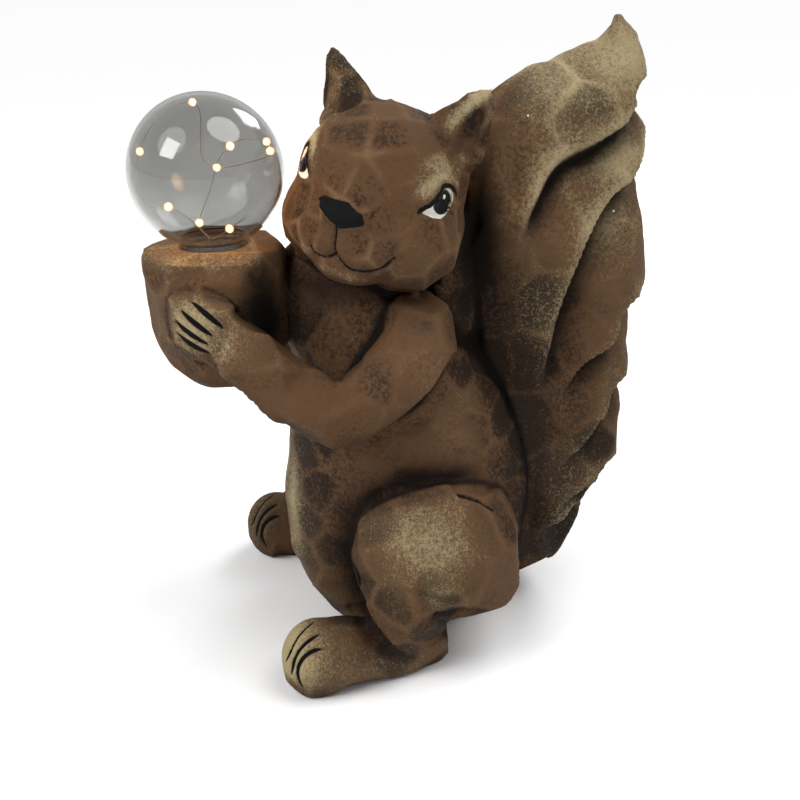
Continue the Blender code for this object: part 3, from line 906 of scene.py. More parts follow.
    def carve_face(self) -> None:
        """Cut the mouth, the nose wedge, the chin's edge and the eyes with their lids."""
        x, y, z = self.inside.T
        front = ((y < -3.0) & (np.abs(x) < 3.3)).astype(float)
        flat = self.inside[:, ::2]
        for line in self.head.mouth:
            distance, _, _ = along_line(flat, line, 20)
            self.relief -= 0.1 * np.exp(-((distance / 0.4) ** 2)) * front
            self.groove(distance, front, *self.mouth_groove)
        distance, _, _ = along_line(flat, self.head.chin_edge, 20)
        self.relief += 0.12 * np.exp(-((distance / 0.35) ** 2)) * front
        self.keep("gold", 0.3 * np.exp(-((distance / 0.3) ** 2)) * front)
        nose = within(flat, self.head.nose)
        wedge = (y < -3.6) & (self.facing[:, 1] < 0.1)
        self.relief += 0.16 * smoothstep(-0.25, 0.1, nose) * wedge
        self.keep("ink", np.where(wedge, nose, -1.0))
        for side, (across, along, shift, lift) in zip(Side, self.head.eye_planes):
            there = (x * side.value > 1.8) & (y < 0.4)
            eye = np.stack([across * x + along * y + shift, z - lift], 1)
            ball = within(eye, self.head.eye)
            socket = -0.14 * smoothstep(-0.02, 0.16, ball) + 0.1 * np.exp(-(((ball + 0.22) / 0.2) ** 2))
            self.relief += np.where(there, socket, 0.0)
            self.keep("white", np.where(there, ball, -1.0))
            out = (eye - self.head.iris) / self.head.iris_size
            disc = (1.0 - np.hypot(out[:, 0], out[:, 1])) * 0.5
            self.keep("iris", np.where(there & (ball > -0.04), disc, -1.0))
            # Painted highlight on the eye, up and to the side of the iris.
            painted_eye_glint = np.hypot(out[:, 0] - 0.3, out[:, 1] - 0.35)
            self.keep("painted_eye_glint", np.where(there & (ball > 0.05), 0.2 - painted_eye_glint, -1.0))
            distance, above, share = along_line(eye, self.head.lid, 24)
            brow = np.exp(-(((distance - 0.42) / 0.28) ** 2)) * (above > 0.0) * np.sin(math.pi * share)
            self.keep("gold", np.where(there, 0.95 * brow, 0.0))
            self.relief += np.where(there, 0.12 * brow, 0.0)
            line = 0.03 + 0.10 * np.sin(math.pi * share**0.7)
            self.keep("ink", np.where(there, line - distance, -1.0))
            upper = there & (eye[:, 1] > 0.6) & (eye[:, 0] > -2.3) & (x > 0.0)
            self.keep("rim", np.where(upper, 0.04 - np.abs(ball - 0.05), -1.0))

    def carve_ears(self) -> None:
        """Hollow the outward side of both ears and brush their edges gold, with painted shade in the hollows.
        """
        x, y, z = self.inside.T
        share = (z - self.head.ear_root[2]) / self.head.ear_lean[2]
        out, along = self.head.ear_line(share)
        across = y - along
        for side, turn in zip(Side, self.ear_turns):
            s = side.value
            off = s * x - out
            depth = 1.1 - np.clip(share, 0.0, 1.0) ** 1.5
            tall = smoothstep(0.0, 0.25, share) * (1.0 - smoothstep(0.6, 0.95, share))
            faced = math.cos(turn) * off - math.sin(turn) * across
            aside = math.sin(turn) * off + math.cos(turn) * across
            outward = smoothstep(0.0, 0.5, faced) * (s * x > 0.0)
            hollow = np.exp(-((aside / (0.75 * depth)) ** 2)) * tall * outward
            self.relief -= self.ear_hollow * hollow
            # Painted shade in the ear's hollow.
            self.keep("painted_shade", 0.38 * smoothstep(0.15, 0.8, hollow))
            ear = (share > 0.0) & (s * x > 0.0) & (np.hypot(off / 2.3, across / 1.5) < 1.0)
            painted = np.full(len(x), 0.0525)
            if side is Side.LEFT:
                painted = 0.15 + 0.8 * np.exp(-(((aside + 0.85 * depth) / 0.28) ** 2)) * (faced > -0.3)
            painted *= (1.0 - hollow) * smoothstep(0.0, 0.5, share)
            self.keep("gold", np.where(ear, painted, 0.0))
            # The whole ear is darkened through the painted light and shade field.
            self.painted_light_and_shade = np.where(ear, 0.5, self.painted_light_and_shade)
            self.soft = np.where(ear, 0.35, self.soft)

    def chisel_reach(self) -> np.ndarray:
        """Breadth of the chisel cuts over the figure, smallest above the neck.

        Returns:
            The breadth at each point.
        """
        reach = np.full(len(self.points), self.body_cut)
        reach[self.points[:, 2] > 21.5] = self.head_cut
        reach[self.points[:, 1] > 4.5] = self.tail_cut
        reach[self.points[:, 1] < -9.0] = self.nut_cut
        return reach

    def carve_chisel(self) -> None:
        """Cut flats with soft ridges between them, and give each flat a tone of its own."""
        points = self.points
        generator = np.random.default_rng(self.chisel_seed)
        order = generator.permutation(len(points))[: self.chisel_tries]
        reach = self.chisel_reach()
        seeds: list[int] = []
        for index in order:
            if seeds:
                gaps = np.linalg.norm(points[seeds] - points[index], axis=1)
                alike = self.normals[seeds] @ self.normals[index] > 0.3
                if np.any((gaps < reach[index] * 0.8) & alike):
                    continue
            seeds.append(index)
        tones = generator.random(len(seeds))
        closest = np.full(len(points), 9.0)
        second = np.full(len(points), 9.0)
        lift = np.zeros(len(points))
        for seed, tone in zip(seeds, tones):
            gap = np.linalg.norm(points - points[seed], axis=1) / reach[seed]
            near = np.nonzero((gap < 1.4) & (self.normals @ self.normals[seed] > 0.3))[0]
            gap = gap[near]
            core = near[gap < 0.6]
            facing = self.normals[core].mean(0)
            facing /= np.linalg.norm(facing)
            wins = gap < closest[near]
            second[near] = np.where(wins, closest[near], np.minimum(second[near], gap))
            near = near[wins]
            closest[near] = gap[wins]
            slope = np.maximum(self.normals[near] @ facing, 0.5)
            lift[near] = (points[core].mean(0) - points[near]) @ facing / slope
            self.tone[near] = tone
        plain = smoothstep(1.0, 2.0, np.abs(points[:, 2] - 3.0) + 3.0 * (points[:, 1] > -6.5))
        face = smoothstep(-0.5, -0.1, np.maximum(self.white, self.ink))
        lift = np.clip(lift, -self.chisel_limit, self.chisel_limit)
        ahead, height = self.inside[:, 1], self.inside[:, 2]
        snout = smoothstep(-1.8, -2.8, ahead) * smoothstep(1.5, 0.5, height) * smoothstep(-6.5, -5.0, ahead)
        lift *= 1.0 - 0.65 * snout
        self.relief += rounded(self.edges, lift, 1) * plain * (1.0 - face) * self.soft
        worn = 0.6 + 0.4 * smoothstep(21.5, 23.5, points[:, 2])
        gap = (second - closest) * reach
        self.ridge = rounded(self.edges, np.exp(-gap / self.ridge_width), 1) * plain * worn
        patch = smoothstep(0.1, 0.6, gap) * smoothstep(0.25, 0.7, self.tone) * plain
        muzzle = smoothstep(5.5, 4.0, np.linalg.norm(self.inside - (0.0, -3.0, -2.0), axis=1))
        self.tone = rounded(self.edges, patch * (1.0 - 0.6 * muzzle), 2)

    def brush(self) -> None:
        """Dry-brush the high places gold, and lay painted shade in the deep places, on the undersides and in
        the shadow zones, and painted light and shade from their zones.
        """
        x, y, z = self.points.T
        hollow = np.zeros(len(self.points))
        for rounds, gain in ((40, 1.6), (300, 0.75)):
            evened = np.stack([rounded(self.edges, column, rounds) for column in self.points.T], 1)
            hollow += gain * np.einsum("ij,ij->i", evened - self.points, self.normals)
        # Painted shade in the hollows and creases.
        self.keep("painted_shade", smoothstep(0.03, 0.75, hollow))
        self.high = smoothstep(0.02, 0.25, -hollow)
        folded = np.stack([np.abs(x), y, z], 1)
        # Less gold on the far side: painted shade on the side turned from the light.
        lit = np.where(x < -2.0, 0.45, 1.0)
        for zone in self.body.brushed:
            self.keep("gold", lit * zone.cover(folded))
        for zone in self.head.brushed:
            self.keep("gold", zone.cover(self.inside))
        # Painted shadows.
        for zone in self.body.painted_shade_zones:
            self.keep("painted_shade", zone.cover(self.points))
        # Zones of painted shade and painted light.
        for zone in self.body.painted_light_and_shade_zones:
            self.painted_light_and_shade += zone.cover(folded)
        up = smoothstep(0.2, 0.9, self.normals[:, 2])
        crown = smoothstep(23.0, 27.0, z) * smoothstep(5.0, 8.0, y)
        self.keep("gold", (0.4 + 0.5 * self.ridge) * (0.4 + 0.6 * up) * crown)
        # Painted shade on the faces that point down.
        under = smoothstep(0.1, 0.9, -self.normals[:, 2])
        self.keep("painted_shade", 0.4 * under)
        rim = smoothstep(1.0, 0.0, self.nut.top / self.grid.z - z) * (y < -8.0)
        self.keep("gold", 0.35 * rim)


@dataclass
class Casting:
    """The cast figure: blanks joined, carved and cut flat underneath."""

    box: tuple[Vector, Vector]
    seat: tuple[Vector, Vector]
    grain: float = 0.0021
    socket_depth: float = 0.0025
    collar_radius: float = 0.0175
    gap: float = 0.0003
    nut_width: float = 0.0775
    grid_size: Triple = (19.5, 28.0, 34.0)
    fine_head: Line = ((-1.0, 3.4, -9.0, -2.2, -3.6, 0.9), (2.2, 9.0, -3.6, 0.7, -0.3, 2.1))
    fine_body: Line = ((2.2, 9.0, -20.0, -10.2, 18.8, 22.9), (-1.0, 20.0, -20.0, -7.2, 0.8, 4.4))
    head: Head = field(default_factory=Head)
    body: Body = field(default_factory=Body)

    def __post_init__(self) -> None:
        """Take the grid and the nut's axis from the solids' boxes."""
        low, high = self.box
        across, deep, tall = self.grid_size
        self.grid = Vector(((high.x - low.x) / across, 2.0 * high.y / deep, high.z / tall))
        middle = (self.seat[0] + self.seat[1]) / 2.0
        top = self.seat[0].z - self.gap + self.socket_depth
        self.nut = Nut(top, self.nut_width / 2.0, middle.y)

    def model(self) -> bpy.types.Object:
        """Model the figure.

        Returns:
            The finished piece, with its paint fields as attributes.
        """
        blanks = Blanks(self.grid)
        self.body.model(blanks)
        self.head.model(blanks)
        self.nut.model(blanks)
        figure = blanks.joined("squirrel")
        remesh = figure.modifiers.new("Cast", "REMESH")
        remesh.mode = "VOXEL"
        remesh.voxel_size = self.grain
        soften = figure.modifiers.new("Soften", "SMOOTH")
        soften.factor = 0.5
        soften.iterations = 6
        activate(figure)
        bpy.ops.object.modifier_apply(modifier=remesh.name)
        self.keep_nut(figure, soften)
        apply_modifiers(figure)
        figure.vertex_groups.clear()
        self.refine(figure)
        self.carve(figure)
        self.stand(figure)
        self.cut_socket(figure)
        activate(figure)
        bpy.ops.object.shade_smooth()
        return figure

    def keep_nut(self, figure: bpy.types.Object, soften: bpy.types.Modifier) -> None:
        """Keep the nut's corners crisp where the skin is softened.

        Args:
            figure: The cast skin.
            soften: The modifier that softens it.
        """
        x, y, z = read_vertices(figure).T
        across = y - self.nut.axis
        angles = np.degrees(np.arctan2(across, x))
        outline = np.array([self.nut.outline(angle) for angle in angles]) * self.nut.radius
        band = 0.004
        rim = (np.abs(np.hypot(x, across) - outline) < band) & (z > self.nut.top - 0.045) & (across < 0.03)
        rim |= (np.hypot(x, across) < outline) & (z > self.nut.top - band)
        group = figure.vertex_groups.new(name="soft")
        group.add(np.nonzero(~rim)[0].tolist(), 1.0, "REPLACE")
        group.add(np.nonzero(rim)[0].tolist(), 0.3, "REPLACE")
        soften.vertex_group = group.name

    def fields(self, figure: bpy.types.Object) -> tuple[np.ndarray, np.ndarray]:
        """Places of a figure's vertices on the grid, and their normals."""
        return read_vertices(figure) / np.array(self.grid), read_vertices(figure, "normal")

    def refine(self, figure: bpy.types.Object) -> None:
        """Divide the skin more finely where the face, the fingers and the toes are cut.

        Args:
            figure: The cast skin.
        """
        points, _ = self.fields(figure)
        inside = self.head.turned(points)
        fine = np.zeros(len(points), dtype=bool)
        for box in self.fine_head:
            fine |= boxed(inside, box)
        for box in self.fine_body:
            fine |= boxed(points, box)
        mesh = figure.data
        activate(figure)
        mesh.vertices.foreach_set("select", fine)
        picked = [all(fine[i] for i in p.vertices) for p in mesh.polygons]
        mesh.polygons.foreach_set("select", picked)
        with edit_mode():
            bpy.ops.mesh.select_mode(type="FACE")
            bpy.ops.mesh.subdivide(number_cuts=1, smoothness=0.0)

    def carve(self, figure: bpy.types.Object) -> None:
        """Carve the skin and keep the paint fields on it.

        Args:
            figure: The cast skin.
        """
        mesh = figure.data
        points, normals = self.fields(figure)
        edges = np.empty(len(mesh.edges) * 2, dtype=np.int64)
        mesh.edges.foreach_get("vertices", edges)
        work = Carving(points, normals, edges.reshape(-1, 2), self.head, self.body, self.nut, self.grid)
        work.carve_locks()
        work.carve_grooves()
        work.carve_face()
        work.carve_ears()
        work.carve_chisel()
        work.brush()
        moved = (points + normals * work.relief[:, None]) * np.array(self.grid)
        mesh.vertices.foreach_set("co", moved.ravel())
        self.even(figure)
        mesh = figure.data
        for name in ("ink", "gold", "painted_shade", "ridge", "tone", "painted_light_and_shade", "high", "white", "iris", "rim", "painted_eye_glint"):
            layer = mesh.attributes.new(name, "FLOAT", "POINT")
            layer.data.foreach_set("value", getattr(work, name).astype(np.float32))
        mesh.update()

    def even(self, figure: bpy.types.Object) -> None:
        """Take the steps of the grain off the carved skin.

        Args:
            figure: The carved figure.
        """
        smooth = figure.modifiers.new("Even", "SMOOTH")
        smooth.factor = 0.5
        smooth.iterations = 1
        apply_modifiers(figure)

    def stand(self, figure: bpy.types.Object) -> None:
        """Cut the underside flat at the ground and bring the figure to its sizes.

        Args:
            figure: The carved figure.
        """
        activate(figure)
        with edit_mode():
            bpy.ops.mesh.select_all(action="SELECT")
            bpy.ops.mesh.bisect(
                plane_co=(0, 0, 0), plane_no=(0, 0, 1), use_fill=True, clear_inner=True, threshold=1e-6
            )
        points = read_vertices(figure)
        low, high = points.min(0), points.max(0)
        start, end = np.array(self.box[0]), np.array(self.box[1])
        points = start + (points - low) / (high - low) * (end - start)
        figure.data.vertices.foreach_set("co", points.ravel())
        figure.data.update()

    def cut_socket(self, figure: bpy.types.Object) -> None:
        """Cut the round socket that the globe's collar stands in.

        Args:
            figure: The carved figure.
        """
        tall = 8.0 * self.socket_depth
        middle = self.nut.top - self.socket_depth + tall / 2.0
        bpy.ops.mesh.primitive_cylinder_add(
            vertices=64,
            radius=self.collar_radius + self.gap,
            depth=tall,
            location=(0.0, self.nut.axis, middle),
        )
        cutter = bpy.context.object
        cut = figure.modifiers.new("Socket", "BOOLEAN")
        cut.operation = "DIFFERENCE"
        cut.solver = "EXACT"
        cut.object = cutter
        apply_modifiers(figure)
        bpy.data.objects.remove(cutter, do_unlink=True)


@dataclass
class Globe:
    """The sealed glass globe with its collar, its wire and its nine lights.

    Rows of the wire are shares of the space inside, from the globe's middle, and the numbers in lit
    are the rows that have a light.
    """

    box: tuple[Vector, Vector]
    collar_radius: float = 0.0175
    collar_height: float = 0.0042
    wall: float = 0.0018
    steps: int = 48
    wire_radius: float = 0.00022
    light_radius: float = 0.0023
    space: float = 0.97
    wire: Line = (
        (0.36, -0.09, -0.95),
        (0.35, -0.08, -0.80),
        (0.34, -0.18, -0.59),
        (0.46, 0.0, -0.14),
        (0.50, 0.13, 0.22),
        (0.52, 0.30, 0.40),
        (0.38, 0.50, 0.45),
        (0.06, 0.83, 0.34),
        (0.22, 0.84, 0.24),
        (0.39, 0.78, 0.21),
        (0.50, 0.43, 0.16),
        (0.16, 0.30, 0.07),
        (-0.39, 0.18, -0.04),
        (-0.54, 0.02, 0.07),
        (-0.56, 0.0, 0.23),
        (-0.42, 0.04, 0.68),
        (-0.20, -0.06, 0.88),
        (-0.15, -0.27, 0.85),
        (-0.24, -0.58, 0.65),
        (-0.28, -0.75, 0.42),
        (-0.24, -0.82, 0.29),
        (-0.12, -0.89, 0.10),
        (0.09, -0.89, -0.14),
        (0.37, -0.77, -0.30),
        (0.50, -0.55, -0.30),
        (0.48, -0.31, -0.48),
        (0.37, -0.05, -0.80),
        (0.57, 0.18, -0.64),
        (0.47, 0.40, -0.54),
    )
    lit: tuple[int, ...] = (2, 5, 7, 8, 12, 16, 20, 24, 27)

    def __post_init__(self) -> None:
        """Take the globe's sizes from its solid's box."""
        low, high = self.box
        self.axis = Vector(((low.x + high.x) / 2.0, (low.y + high.y) / 2.0, 0.0))
        self.foot = low.z
        self.radius = (high.x - low.x) / 2.0
        self.middle = high.z - self.radius

    def model(self) -> bpy.types.Object:
        """Spin the glass wall, outside and inside.

        Returns:
            The glass piece.
        """
        profile = self.profile(0.0) + list(reversed(self.profile(self.wall)))
        cavity = self.radius - 0.5 * self.wall
        bpy.ops.mesh.primitive_circle_add(vertices=len(profile), radius=0.01)
        glass = bpy.context.object
        glass.name = "glass_globe_wall"
        for vertex, (r, z) in zip(glass.data.vertices, profile):
            vertex.co = (r, 0.0, z)
        with edit_mode():
            bpy.ops.mesh.select_all(action="SELECT")
            bpy.ops.mesh.spin(steps=96, angle=2.0 * math.pi, center=(0, 0, 0), axis=(0, 0, 1))
            bpy.ops.mesh.select_all(action="SELECT")
            bpy.ops.mesh.remove_doubles(threshold=1e-5)
            bpy.ops.mesh.dissolve_degenerate(threshold=1e-6)
            bpy.ops.mesh.normals_make_consistent(inside=False)
            bpy.ops.mesh.select_all(action="DESELECT")
        heart = Vector((0.0, 0.0, self.middle))
        for face in glass.data.polygons:
            bulb = face.center.z > self.foot + self.collar_height
            reach = (face.center - heart).length if bulb else math.hypot(face.center.x, face.center.y)
            low = face.center.z < self.foot + 0.5 * self.wall
            limit = cavity if bulb else self.collar_radius - 0.5 * self.wall
            face.select = reach < limit and not low
        with edit_mode():
            bpy.ops.mesh.flip_normals()
        glass.data.transform(Matrix.Translation(self.axis))
        bpy.ops.object.shade_smooth_by_angle(angle=math.radians(40.0))
        return glass

    def inner(self, share: Triple) -> Vector:
        """Place inside the globe, from its shares of the space there."""
        return Vector((self.axis.x, self.axis.y, self.middle)) + Vector(share) * self.radius * self.space

    def model_wire(self) -> bpy.types.Object:
        """Bend the thin wire through its stations and close it into a tube.

        Returns:
            The wire piece.
        """
        steps = 8 * (len(self.wire) - 1)
        path = [self.inner(catmull(self.wire, i / steps)) for i in range(steps + 1)]
        bpy.ops.mesh.primitive_circle_add(vertices=len(path), radius=0.01)
        wire = bpy.context.object
        wire.name = "light_wire"
        for vertex, place in zip(wire.data.vertices, path):
            vertex.co = place
        with edit_mode():
            bpy.ops.mesh.select_all(action="DESELECT")
        for edge in wire.data.edges:
            edge.select = {0, len(path) - 1} == set(edge.vertices)
        with edit_mode():
            bpy.ops.mesh.select_mode(type="EDGE")
            bpy.ops.mesh.delete(type="EDGE")
        bpy.ops.object.convert(target="CURVE")
        wire.data.bevel_depth = self.wire_radius
        wire.data.bevel_resolution = 1
        wire.data.use_fill_caps = True
        bpy.ops.object.convert(target="MESH")
        bpy.ops.object.shade_smooth()
        return wire

    def model_lights(self) -> bpy.types.Object:
        """Set a small round light at each of its places on the wire.

        Returns:
            The nine lights as one piece.
        """
        lights = []
        for index in self.lit:
            place = self.inner(self.wire[index])
            bpy.ops.mesh.primitive_uv_sphere_add(
                segments=16, ring_count=10, radius=self.light_radius, location=place
            )
            bpy.ops.object.transform_apply(location=True)
            lights.append(bpy.context.object)
        for light in lights:
            light.select_set(True)
        bpy.ops.object.join()
        piece = bpy.context.object
        piece.name = "globe_lights"
        bpy.ops.object.shade_smooth()
        return piece

    def profile(self, inset: float) -> list[tuple[float, float]]:
        """Half outline of the glass, from the axis below to the axis on top.

        Args:
            inset: Distance inside the outer face.

        Returns:
            Radius and height of each point.
        """
        radius = self.radius - inset
        collar = self.collar_radius - inset
        start = math.asin(collar / radius)
        rows = [(0.0, self.foot + inset), (collar, self.foot + inset)]
        for i in range(self.steps + 1):
            a = start + (math.pi - start) * i / self.steps
            rows.append((max(radius * math.sin(a), 0.0), self.middle - radius * math.cos(a)))
        return rows


@dataclass(frozen=True)
class Paint:
    """A plain colour in linear light."""

    red: float
    green: float
    blue: float

    def rgba(self) -> tuple[float, float, float, float]:
        """The colour with full cover."""
        return (self.red, self.green, self.blue, 1.0)


class Nodes:
    """A node tree that is put together step by step."""

    def __init__(self, tree: bpy.types.NodeTree) -> None:
        """Hold the tree."""
        self.tree = tree

    def add(self, kind: str, **settings: object) -> bpy.types.Node:
        """Add a node.

        Args:
            kind: Type of the node.
            settings: Properties of the node.

        Returns:
            The node.
        """
        node = self.tree.nodes.new(kind)
        for name, value in settings.items():
            setattr(node, name, value)
        return node

    def feed(self, socket: bpy.types.NodeSocket, value: object) -> None:
        """Link a socket, or set its plain value.

        Args:
            socket: The input.
            value: A socket to link or the plain value.
        """
        if isinstance(value, bpy.types.NodeSocket):
            self.tree.links.new(value, socket)
        else:
            socket.default_value = value

    def fill(self, node: bpy.types.Node, values: dict[str, object]) -> None:
        """Feed several inputs of a node.

        Args:
            node: The node.
            values: A plain value or a socket for each input's name.
        """
        for name, value in values.items():
            self.feed(node.inputs[name], value)

    def math(self, operation: str, *values: object, clamp: bool = False) -> bpy.types.NodeSocket:
        """Work out a number.

        Args:
            operation: Math operation.
            values: Numbers or sockets.
            clamp: Keep the result between 0 and 1.

        Returns:
            The result.
        """
        node = self.add("ShaderNodeMath", operation=operation, use_clamp=clamp)
        for socket, value in zip(node.inputs, values):
            self.feed(socket, value)
        return node.outputs[0]

    def ease(self, value: object, low: float, high: float) -> bpy.types.NodeSocket:
        """Ease a number from 0 at low to 1 at high.

        Args:
            value: The number.
            low: Value that gives 0.
            high: Value that gives 1.

        Returns:
            The eased number.
        """
        node = self.add("ShaderNodeMapRange", interpolation_type="SMOOTHSTEP")
        self.feed(node.inputs["Value"], value)
        node.inputs["From Min"].default_value = low
        node.inputs["From Max"].default_value = high
        return node.outputs[0]

    def mix(self, share: object, under: object, over: object) -> bpy.types.NodeSocket:
        """Lay one colour over another.

        Args:
            share: How much of the upper one shows.
            under: The lower colour.
            over: The upper colour.

        Returns:
            The mixed colour.
        """
        node = self.add("ShaderNodeMix", data_type="RGBA")
        self.feed(node.inputs[0], share)
        self.feed(node.inputs[6], under)
        self.feed(node.inputs[7], over)
        return node.outputs[2]

    def stir(self, value: object, *grains: tuple[object, float]) -> bpy.types.NodeSocket:
        """Swing a number up and down by noises.

        Args:
            value: The number.
            grains: Each noise and how far it swings the number.

        Returns:
            The number with the noises in it.
        """
        for grain, amount in grains:
            swing = self.math("MULTIPLY", self.math("SUBTRACT", grain, 0.5), amount)
            value = self.math("ADD", value, swing)
        return value

    def noise(
        self, place: object, scale: float, detail: float = 3.0, rough: float = 0.6
    ) -> bpy.types.NodeSocket:
        """Noise that runs from 0 to 1.

        Args:
            place: Coordinates that it is read at.
            scale: How fine it is.
            detail: How many finer noises are laid over it.
            rough: How strong the finer ones are.

        Returns:
            The noise.
        """
        node = self.add("ShaderNodeTexNoise")
        self.feed(node.inputs["Vector"], place)
        node.inputs["Scale"].default_value = scale
        node.inputs["Detail"].default_value = detail
        node.inputs["Roughness"].default_value = rough
        return node.outputs[0]

    def attribute(self, name: str) -> bpy.types.NodeSocket:
        """A field kept on the mesh."""
        return self.add("ShaderNodeAttribute", attribute_name=name).outputs["Fac"]


def new_material(name: str) -> tuple[bpy.types.Material, Nodes, bpy.types.Node]:
    """Start a material.

    Args:
        name: Name of the material.

    Returns:
        The material, its node tree and its shader.
    """
    material = bpy.data.materials.new(name)
    material.use_nodes = True
    nodes = Nodes(material.node_tree)
    return material, nodes, nodes.tree.nodes["Principled BSDF"]


@dataclass(frozen=True)
class CastFinish:
    """Brown painted clay, darker in the flats, with gold dry-brushing and black painted lines, and with
    painted shade and painted light over it.

    Rows of grains hold the scale, detail and roughness of four noises: fine, grit, cloud and patch.
    """

    base: Paint = Paint(0.097, 0.051, 0.025)
    deep: Paint = Paint(0.017, 0.011, 0.008)
    warm: Paint = Paint(0.170, 0.098, 0.052)
    gold: Paint = Paint(0.345, 0.278, 0.155)
    # Near-black for the specks and for painted shade.
    speck_and_shade: Paint = Paint(0.006, 0.004, 0.003)
    ink: Paint = Paint(0.005, 0.005, 0.005)
    cream: Paint = Paint(0.66, 0.64, 0.58)
    chip: Paint = Paint(0.75, 0.74, 0.70)
    grains: Line = ((900.0, 2.0, 0.7), (420.0, 3.0, 0.65), (45.0, 3.0, 0.6), (16.0, 2.0, 0.5))
    shine: float = 0.08
    rough: float = 0.72
    grain_height: float = 0.0008

    def material(self) -> bpy.types.Material:
        """Build the material.

        Returns:
            The painted cast material.
        """
        material, nodes, shader = new_material(Slot.CAST.value)
        place = nodes.add("ShaderNodeTexCoord").outputs["Object"]
        grains = [nodes.noise(place, *grain) for grain in self.grains]
        fine, grit = grains[:2]
        colour = self.clay(nodes, grains)
        colour = self.gilt(nodes, colour, grains)
        colour = self.worn(nodes, colour, place, grains)
        colour = self.drawn(nodes, colour, grit)
        iris = nodes.ease(nodes.attribute("iris"), -0.02, 0.02)
        rough = nodes.math("MULTIPLY_ADD", iris, -0.4, self.rough)
        bump = nodes.add("ShaderNodeBump")
        height = nodes.math("MULTIPLY_ADD", fine, 0.6, grit)
        nodes.fill(bump, {"Height": height, "Strength": 0.5, "Distance": self.grain_height})
        finish = {
            "Base Color": colour,
            "Specular IOR Level": self.shine,
            "Roughness": nodes.stir(rough, (grit, 0.25)),
            "Normal": bump.outputs["Normal"],
        }
        nodes.fill(shader, finish)
        return material

    def clay(self, nodes: Nodes, grains: list[bpy.types.NodeSocket]) -> bpy.types.NodeSocket:
        """Brown clay, darker in the flats and warm brown on the worn ridges, with painted shade and painted
        light laid in from their field.

        Args:
            nodes: The tree.
            grains: The noises.

        Returns:
            The colour.
        """
        fine, grit, cloud, patch = grains
        ridge = nodes.attribute("ridge")
        painted_light_and_shade = nodes.attribute("painted_light_and_shade")
        flat = nodes.math("MULTIPLY_ADD", ridge, -0.35, 0.35)
        flat = nodes.math("MULTIPLY_ADD", nodes.attribute("tone"), 0.66, flat)
        flat = nodes.stir(flat, (grit, 3.2), (fine, 1.8), (cloud, 1.4), (patch, 1.6))
        # Painted shade darkens the flats.
        flat = nodes.math("MULTIPLY_ADD", painted_light_and_shade, 0.9, flat)
        flat = nodes.math("MULTIPLY_ADD", nodes.attribute("high"), -0.25, flat)
        share = nodes.math("MULTIPLY", nodes.ease(flat, 0.0, 1.4), 0.95)
        colour = nodes.mix(share, self.base.rgba(), self.deep.rgba())
        # Painted light: warm brown where the field is below 0.
        painted_light = nodes.math("MULTIPLY", nodes.ease(nodes.math("MULTIPLY", painted_light_and_shade, -1.0), 0.1, 0.9), 0.8)
        painted_light = nodes.math("MULTIPLY", painted_light, nodes.ease(grit, 0.35, 0.55))
        warm = nodes.math("MULTIPLY", nodes.ease(ridge, 0.1, 1.0), nodes.ease(cloud, 0.42, 0.62))
        warm = nodes.math("MAXIMUM", nodes.math("MULTIPLY", warm, 0.95), painted_light)
        return nodes.mix(nodes.math("MULTIPLY", warm, 0.85), colour, self.warm.rgba())

    def gilt(
        self, nodes: Nodes, colour: bpy.types.NodeSocket, grains: list[bpy.types.NodeSocket]
    ) -> bpy.types.NodeSocket:
        """Gold dry-brushed over the high places.

        Args:
            nodes: The tree.
            colour: The colour below.
            grains: The noises.

        Returns:
            The colour with the gold on it.
        """
        fine, grit, _, patch = grains
        raised = nodes.math("ADD", nodes.attribute("ridge"), nodes.attribute("high"))
        brush = nodes.stir(nodes.attribute("gold"), (fine, 1.3), (grit, 0.9), (patch, 0.9))
        brush = nodes.math("ADD", brush, nodes.math("MULTIPLY_ADD", raised, 0.16, 0.02))
        share = nodes.math("MULTIPLY", nodes.ease(brush, 0.25, 1.15), 0.95)
        return nodes.mix(share, colour, self.gold.rgba())

    def worn(
        self,
        nodes: Nodes,
        colour: bpy.types.NodeSocket,
        place: bpy.types.NodeSocket,
        grains: list[bpy.types.NodeSocket],
    ) -> bpy.types.NodeSocket:
        """Dark specks, painted shade in the hollows and creases, and a few white chips.

        Args:
            nodes: The tree.
            colour: The colour below.
            place: Object coordinates.
            grains: The noises.

        Returns:
            The worn colour.
        """
        fine, _, cloud, patch = grains
        speck = nodes.math("MULTIPLY", nodes.ease(fine, 0.60, 0.70), 0.35)
        colour = nodes.mix(speck, colour, self.speck_and_shade.rgba())
        # Painted shade from its field.
        speck_and_shade = nodes.stir(nodes.attribute("painted_shade"), (cloud, 0.3))
        colour = nodes.mix(nodes.ease(speck_and_shade, 0.0, 0.8), colour, self.speck_and_shade.rgba())
        chips = nodes.add("ShaderNodeTexVoronoi", feature="F1")
        nodes.feed(chips.inputs["Vector"], place)
        chips.inputs["Scale"].default_value = 60.0
        chip = nodes.math("LESS_THAN", chips.outputs["Distance"], 0.035)
        chip = nodes.math("MULTIPLY", chip, nodes.math("GREATER_THAN", patch, 0.62))
        return nodes.mix(chip, colour, self.chip.rgba())

